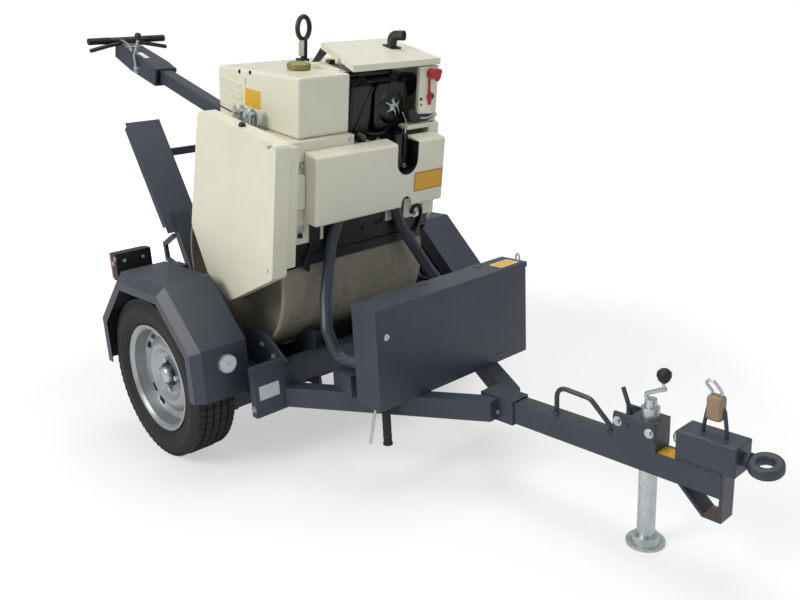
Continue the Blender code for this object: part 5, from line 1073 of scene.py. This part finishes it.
def trailer_trim():
    """Blank plate, bolts, grease cap and welds of the bed, a dark sheet that paints the shadow under the
    drum, and the skid's rubbed face.
    """
    sign("wing_plate", TRAILER, "front", (WING_FRONT, -0.463, 0.300), 0.074, 0.046, GREY_VINYL)
    bolts("wing_bolts", TRAILER, [(0.418, way * 0.5152, 0.250, side) for side, way in SIDES], 0.012, 0.005)
    bolts("latch_bolt", TRAILER, [(-0.150, -0.4025, 0.578, "left")], 0.014, 0.006)
    bolts("guide_bolts", TRAILER,
          [(x, way * 0.389, z, side) for side, way in SIDES for x, z in ((0.300, 0.400), (0.360, 0.372))],
          0.012, 0.005)
    solid("grease_cap", YELLOW,
          (spun, [(0.0, 0.012), (0.006, 0.011), (0.009, 0.006), (0.010, 0.0), (0.0, 0.0)],
           on(TRAILER, "top", (0.352, -0.402, SIDE_TOP + 0.0003)), 20))
    runs = []
    for side, way in SIDES:
        runs.append(((0.4335, way * 0.346, 0.2905), (0.4335, way * 0.408, 0.2905)))
        runs.append(((0.3690, way * 0.372, SIDE_TOP + 0.001), (0.3690, way * 0.420, SIDE_TOP + 0.001)))
    weld("bed_welds", runs, 0.0030)
    # a dark sheet across the open bed under the drum: painted shadow where the floor would show between drum
    # and crossmember
    solid("bed_shadow_sheet", SLATE, (block, (-0.138, 0.368), (-0.366, 0.366), (0.2990, 0.3030), TRAILER))
    upright = Matrix(((1, 0, 0, 0), (0, 0, 1, 0), (0, 1, 0, 0), (0, 0, 0, 1)))
    solid("skid_rubbed_face", RUSTED,
          (slab, [(1.6478, 0.1685), (1.6870, 0.1685), (1.6870, 0.2230), (1.6862, 0.2230), (1.6862, 0.1695),
                  (1.6478, 0.1695)], -0.027, 0.027, TRAILER @ upright), slot="anthracite_paint")


trailer_trim()


# Camera, light and floor

PHOTO_WIDTH, FOCAL_LENGTH = 800, 871.1    # pixels of the photograph
SENSOR = 36.0                             # millimetres
MIDDLE = (0.0, 0.0, 0.6)


def camera():
    """The photograph's station: from the front right, a little above the machine."""
    yaw, pitch, roll = math.radians(137.80), math.radians(-17.57), math.radians(-2.99)
    ahead = Vector((math.cos(pitch) * math.cos(yaw), math.cos(pitch) * math.sin(yaw), math.sin(pitch)))
    right = ahead.cross(Vector((0.0, 0.0, 1.0))).normalized()
    up = right.cross(ahead)
    right, up = (right * math.cos(roll) + up * math.sin(roll), up * math.cos(roll) - right * math.sin(roll))
    made = bpy.data.cameras.new("camera")
    made.sensor_width = SENSOR
    made.lens = FOCAL_LENGTH / PHOTO_WIDTH * SENSOR
    made.clip_end = 100.0
    station = placed("camera", made)
    turn = Matrix((right, up, -ahead)).transposed().to_4x4()
    station.matrix_world = TRAILER @ Matrix.Translation((2.5595, -1.8274, 1.3609)) @ turn
    bpy.context.scene.camera = station


def lamp(name, place, size, watts, colour="#ffffff"):
    """A soft round light aimed at the middle of the machine."""
    made = bpy.data.lights.new(name, "AREA")
    made.shape = "DISK"
    made.size = size
    made.energy = watts
    made.color = linear(colour)[:3]
    turn = (Vector(MIDDLE) - Vector(place)).to_track_quat("-Z", "Y").to_matrix().to_4x4()
    placed(name, made).matrix_world = Matrix.Translation(place) @ turn


def surroundings():
    """An even white room: full white to the camera, dimmer as a light."""
    world = bpy.data.worlds.new("studio")
    bpy.context.scene.world = world
    world.use_nodes = True
    tree = world.node_tree
    back = tree.nodes["Background"]
    back.inputs["Color"].default_value = (1.0, 1.0, 1.0, 1.0)
    ray = add(tree, "ShaderNodeLightPath")
    seen = add(tree, "ShaderNodeMath", {"operation": "MAXIMUM"},
               {0: ray.outputs["Is Camera Ray"], 1: ray.outputs["Is Transmission Ray"]})
    level = add(tree, "ShaderNodeMapRange", {"To Min": 0.42, "To Max": 1.0}, {"Value": seen})
    tree.links.new(level.outputs["Result"], back.inputs["Strength"])


def studio_floor():
    """A pale painted floor that takes the machine's shadow and fades to white away from it."""
    made, tree, at = start("studio_floor", Roughness=0.6, Specular_IOR_Level=0.1,
                                  Emission_Color=(1.0, 1.0, 1.0, 1.0))
    ray = add(tree, "ShaderNodeLightPath")
    reach = add(tree, "ShaderNodeVectorMath", {"operation": "LENGTH"}, at)
    glow = add(tree, "ShaderNodeMapRange",
               {"From Min": 1.4, "From Max": 3.4, "To Min": 0.50, "To Max": 1.0},
               {"Value": reach.outputs["Value"]})
    seen = add(tree, "ShaderNodeMath", {"operation": "MULTIPLY"},
               {0: ray.outputs["Is Camera Ray"], 1: glow})
    light_grey, mid_grey = (0.86, 0.86, 0.86, 1.0), (0.50, 0.50, 0.50, 1.0)
    grey = add(tree, "ShaderNodeMix", {"data_type": "RGBA", 6: light_grey, 7: mid_grey},
               {0: ray.outputs["Is Camera Ray"]})
    return dress(made, Base_Color=grey.outputs[2], Emission_Strength=seen.outputs[0])


def studio():
    """Three soft lights in a white room, over the floor."""
    lamp("key", (-0.6, -4.2, 3.4), 2.6, 128.0, "#fffaf2")
    lamp("front_fill", (4.4, 0.6, 2.4), 2.4, 20.0, "#f4f8ff")
    lamp("top", (0.2, 0.6, 4.6), 3.0, 84.0)
    surroundings()
    shape = bmesh.new()
    bmesh.ops.create_grid(shape, x_segments=1, y_segments=1, size=14.0)
    mesh = meshed("floor", shape)
    mesh.materials.append(studio_floor())
    floor = placed("floor", mesh)
    floor.location = (0.0, 0.0, -0.0006)
    bpy.context.scene.view_settings.view_transform = "Standard"


camera()
studio()

bpy.context.view_layer.update()
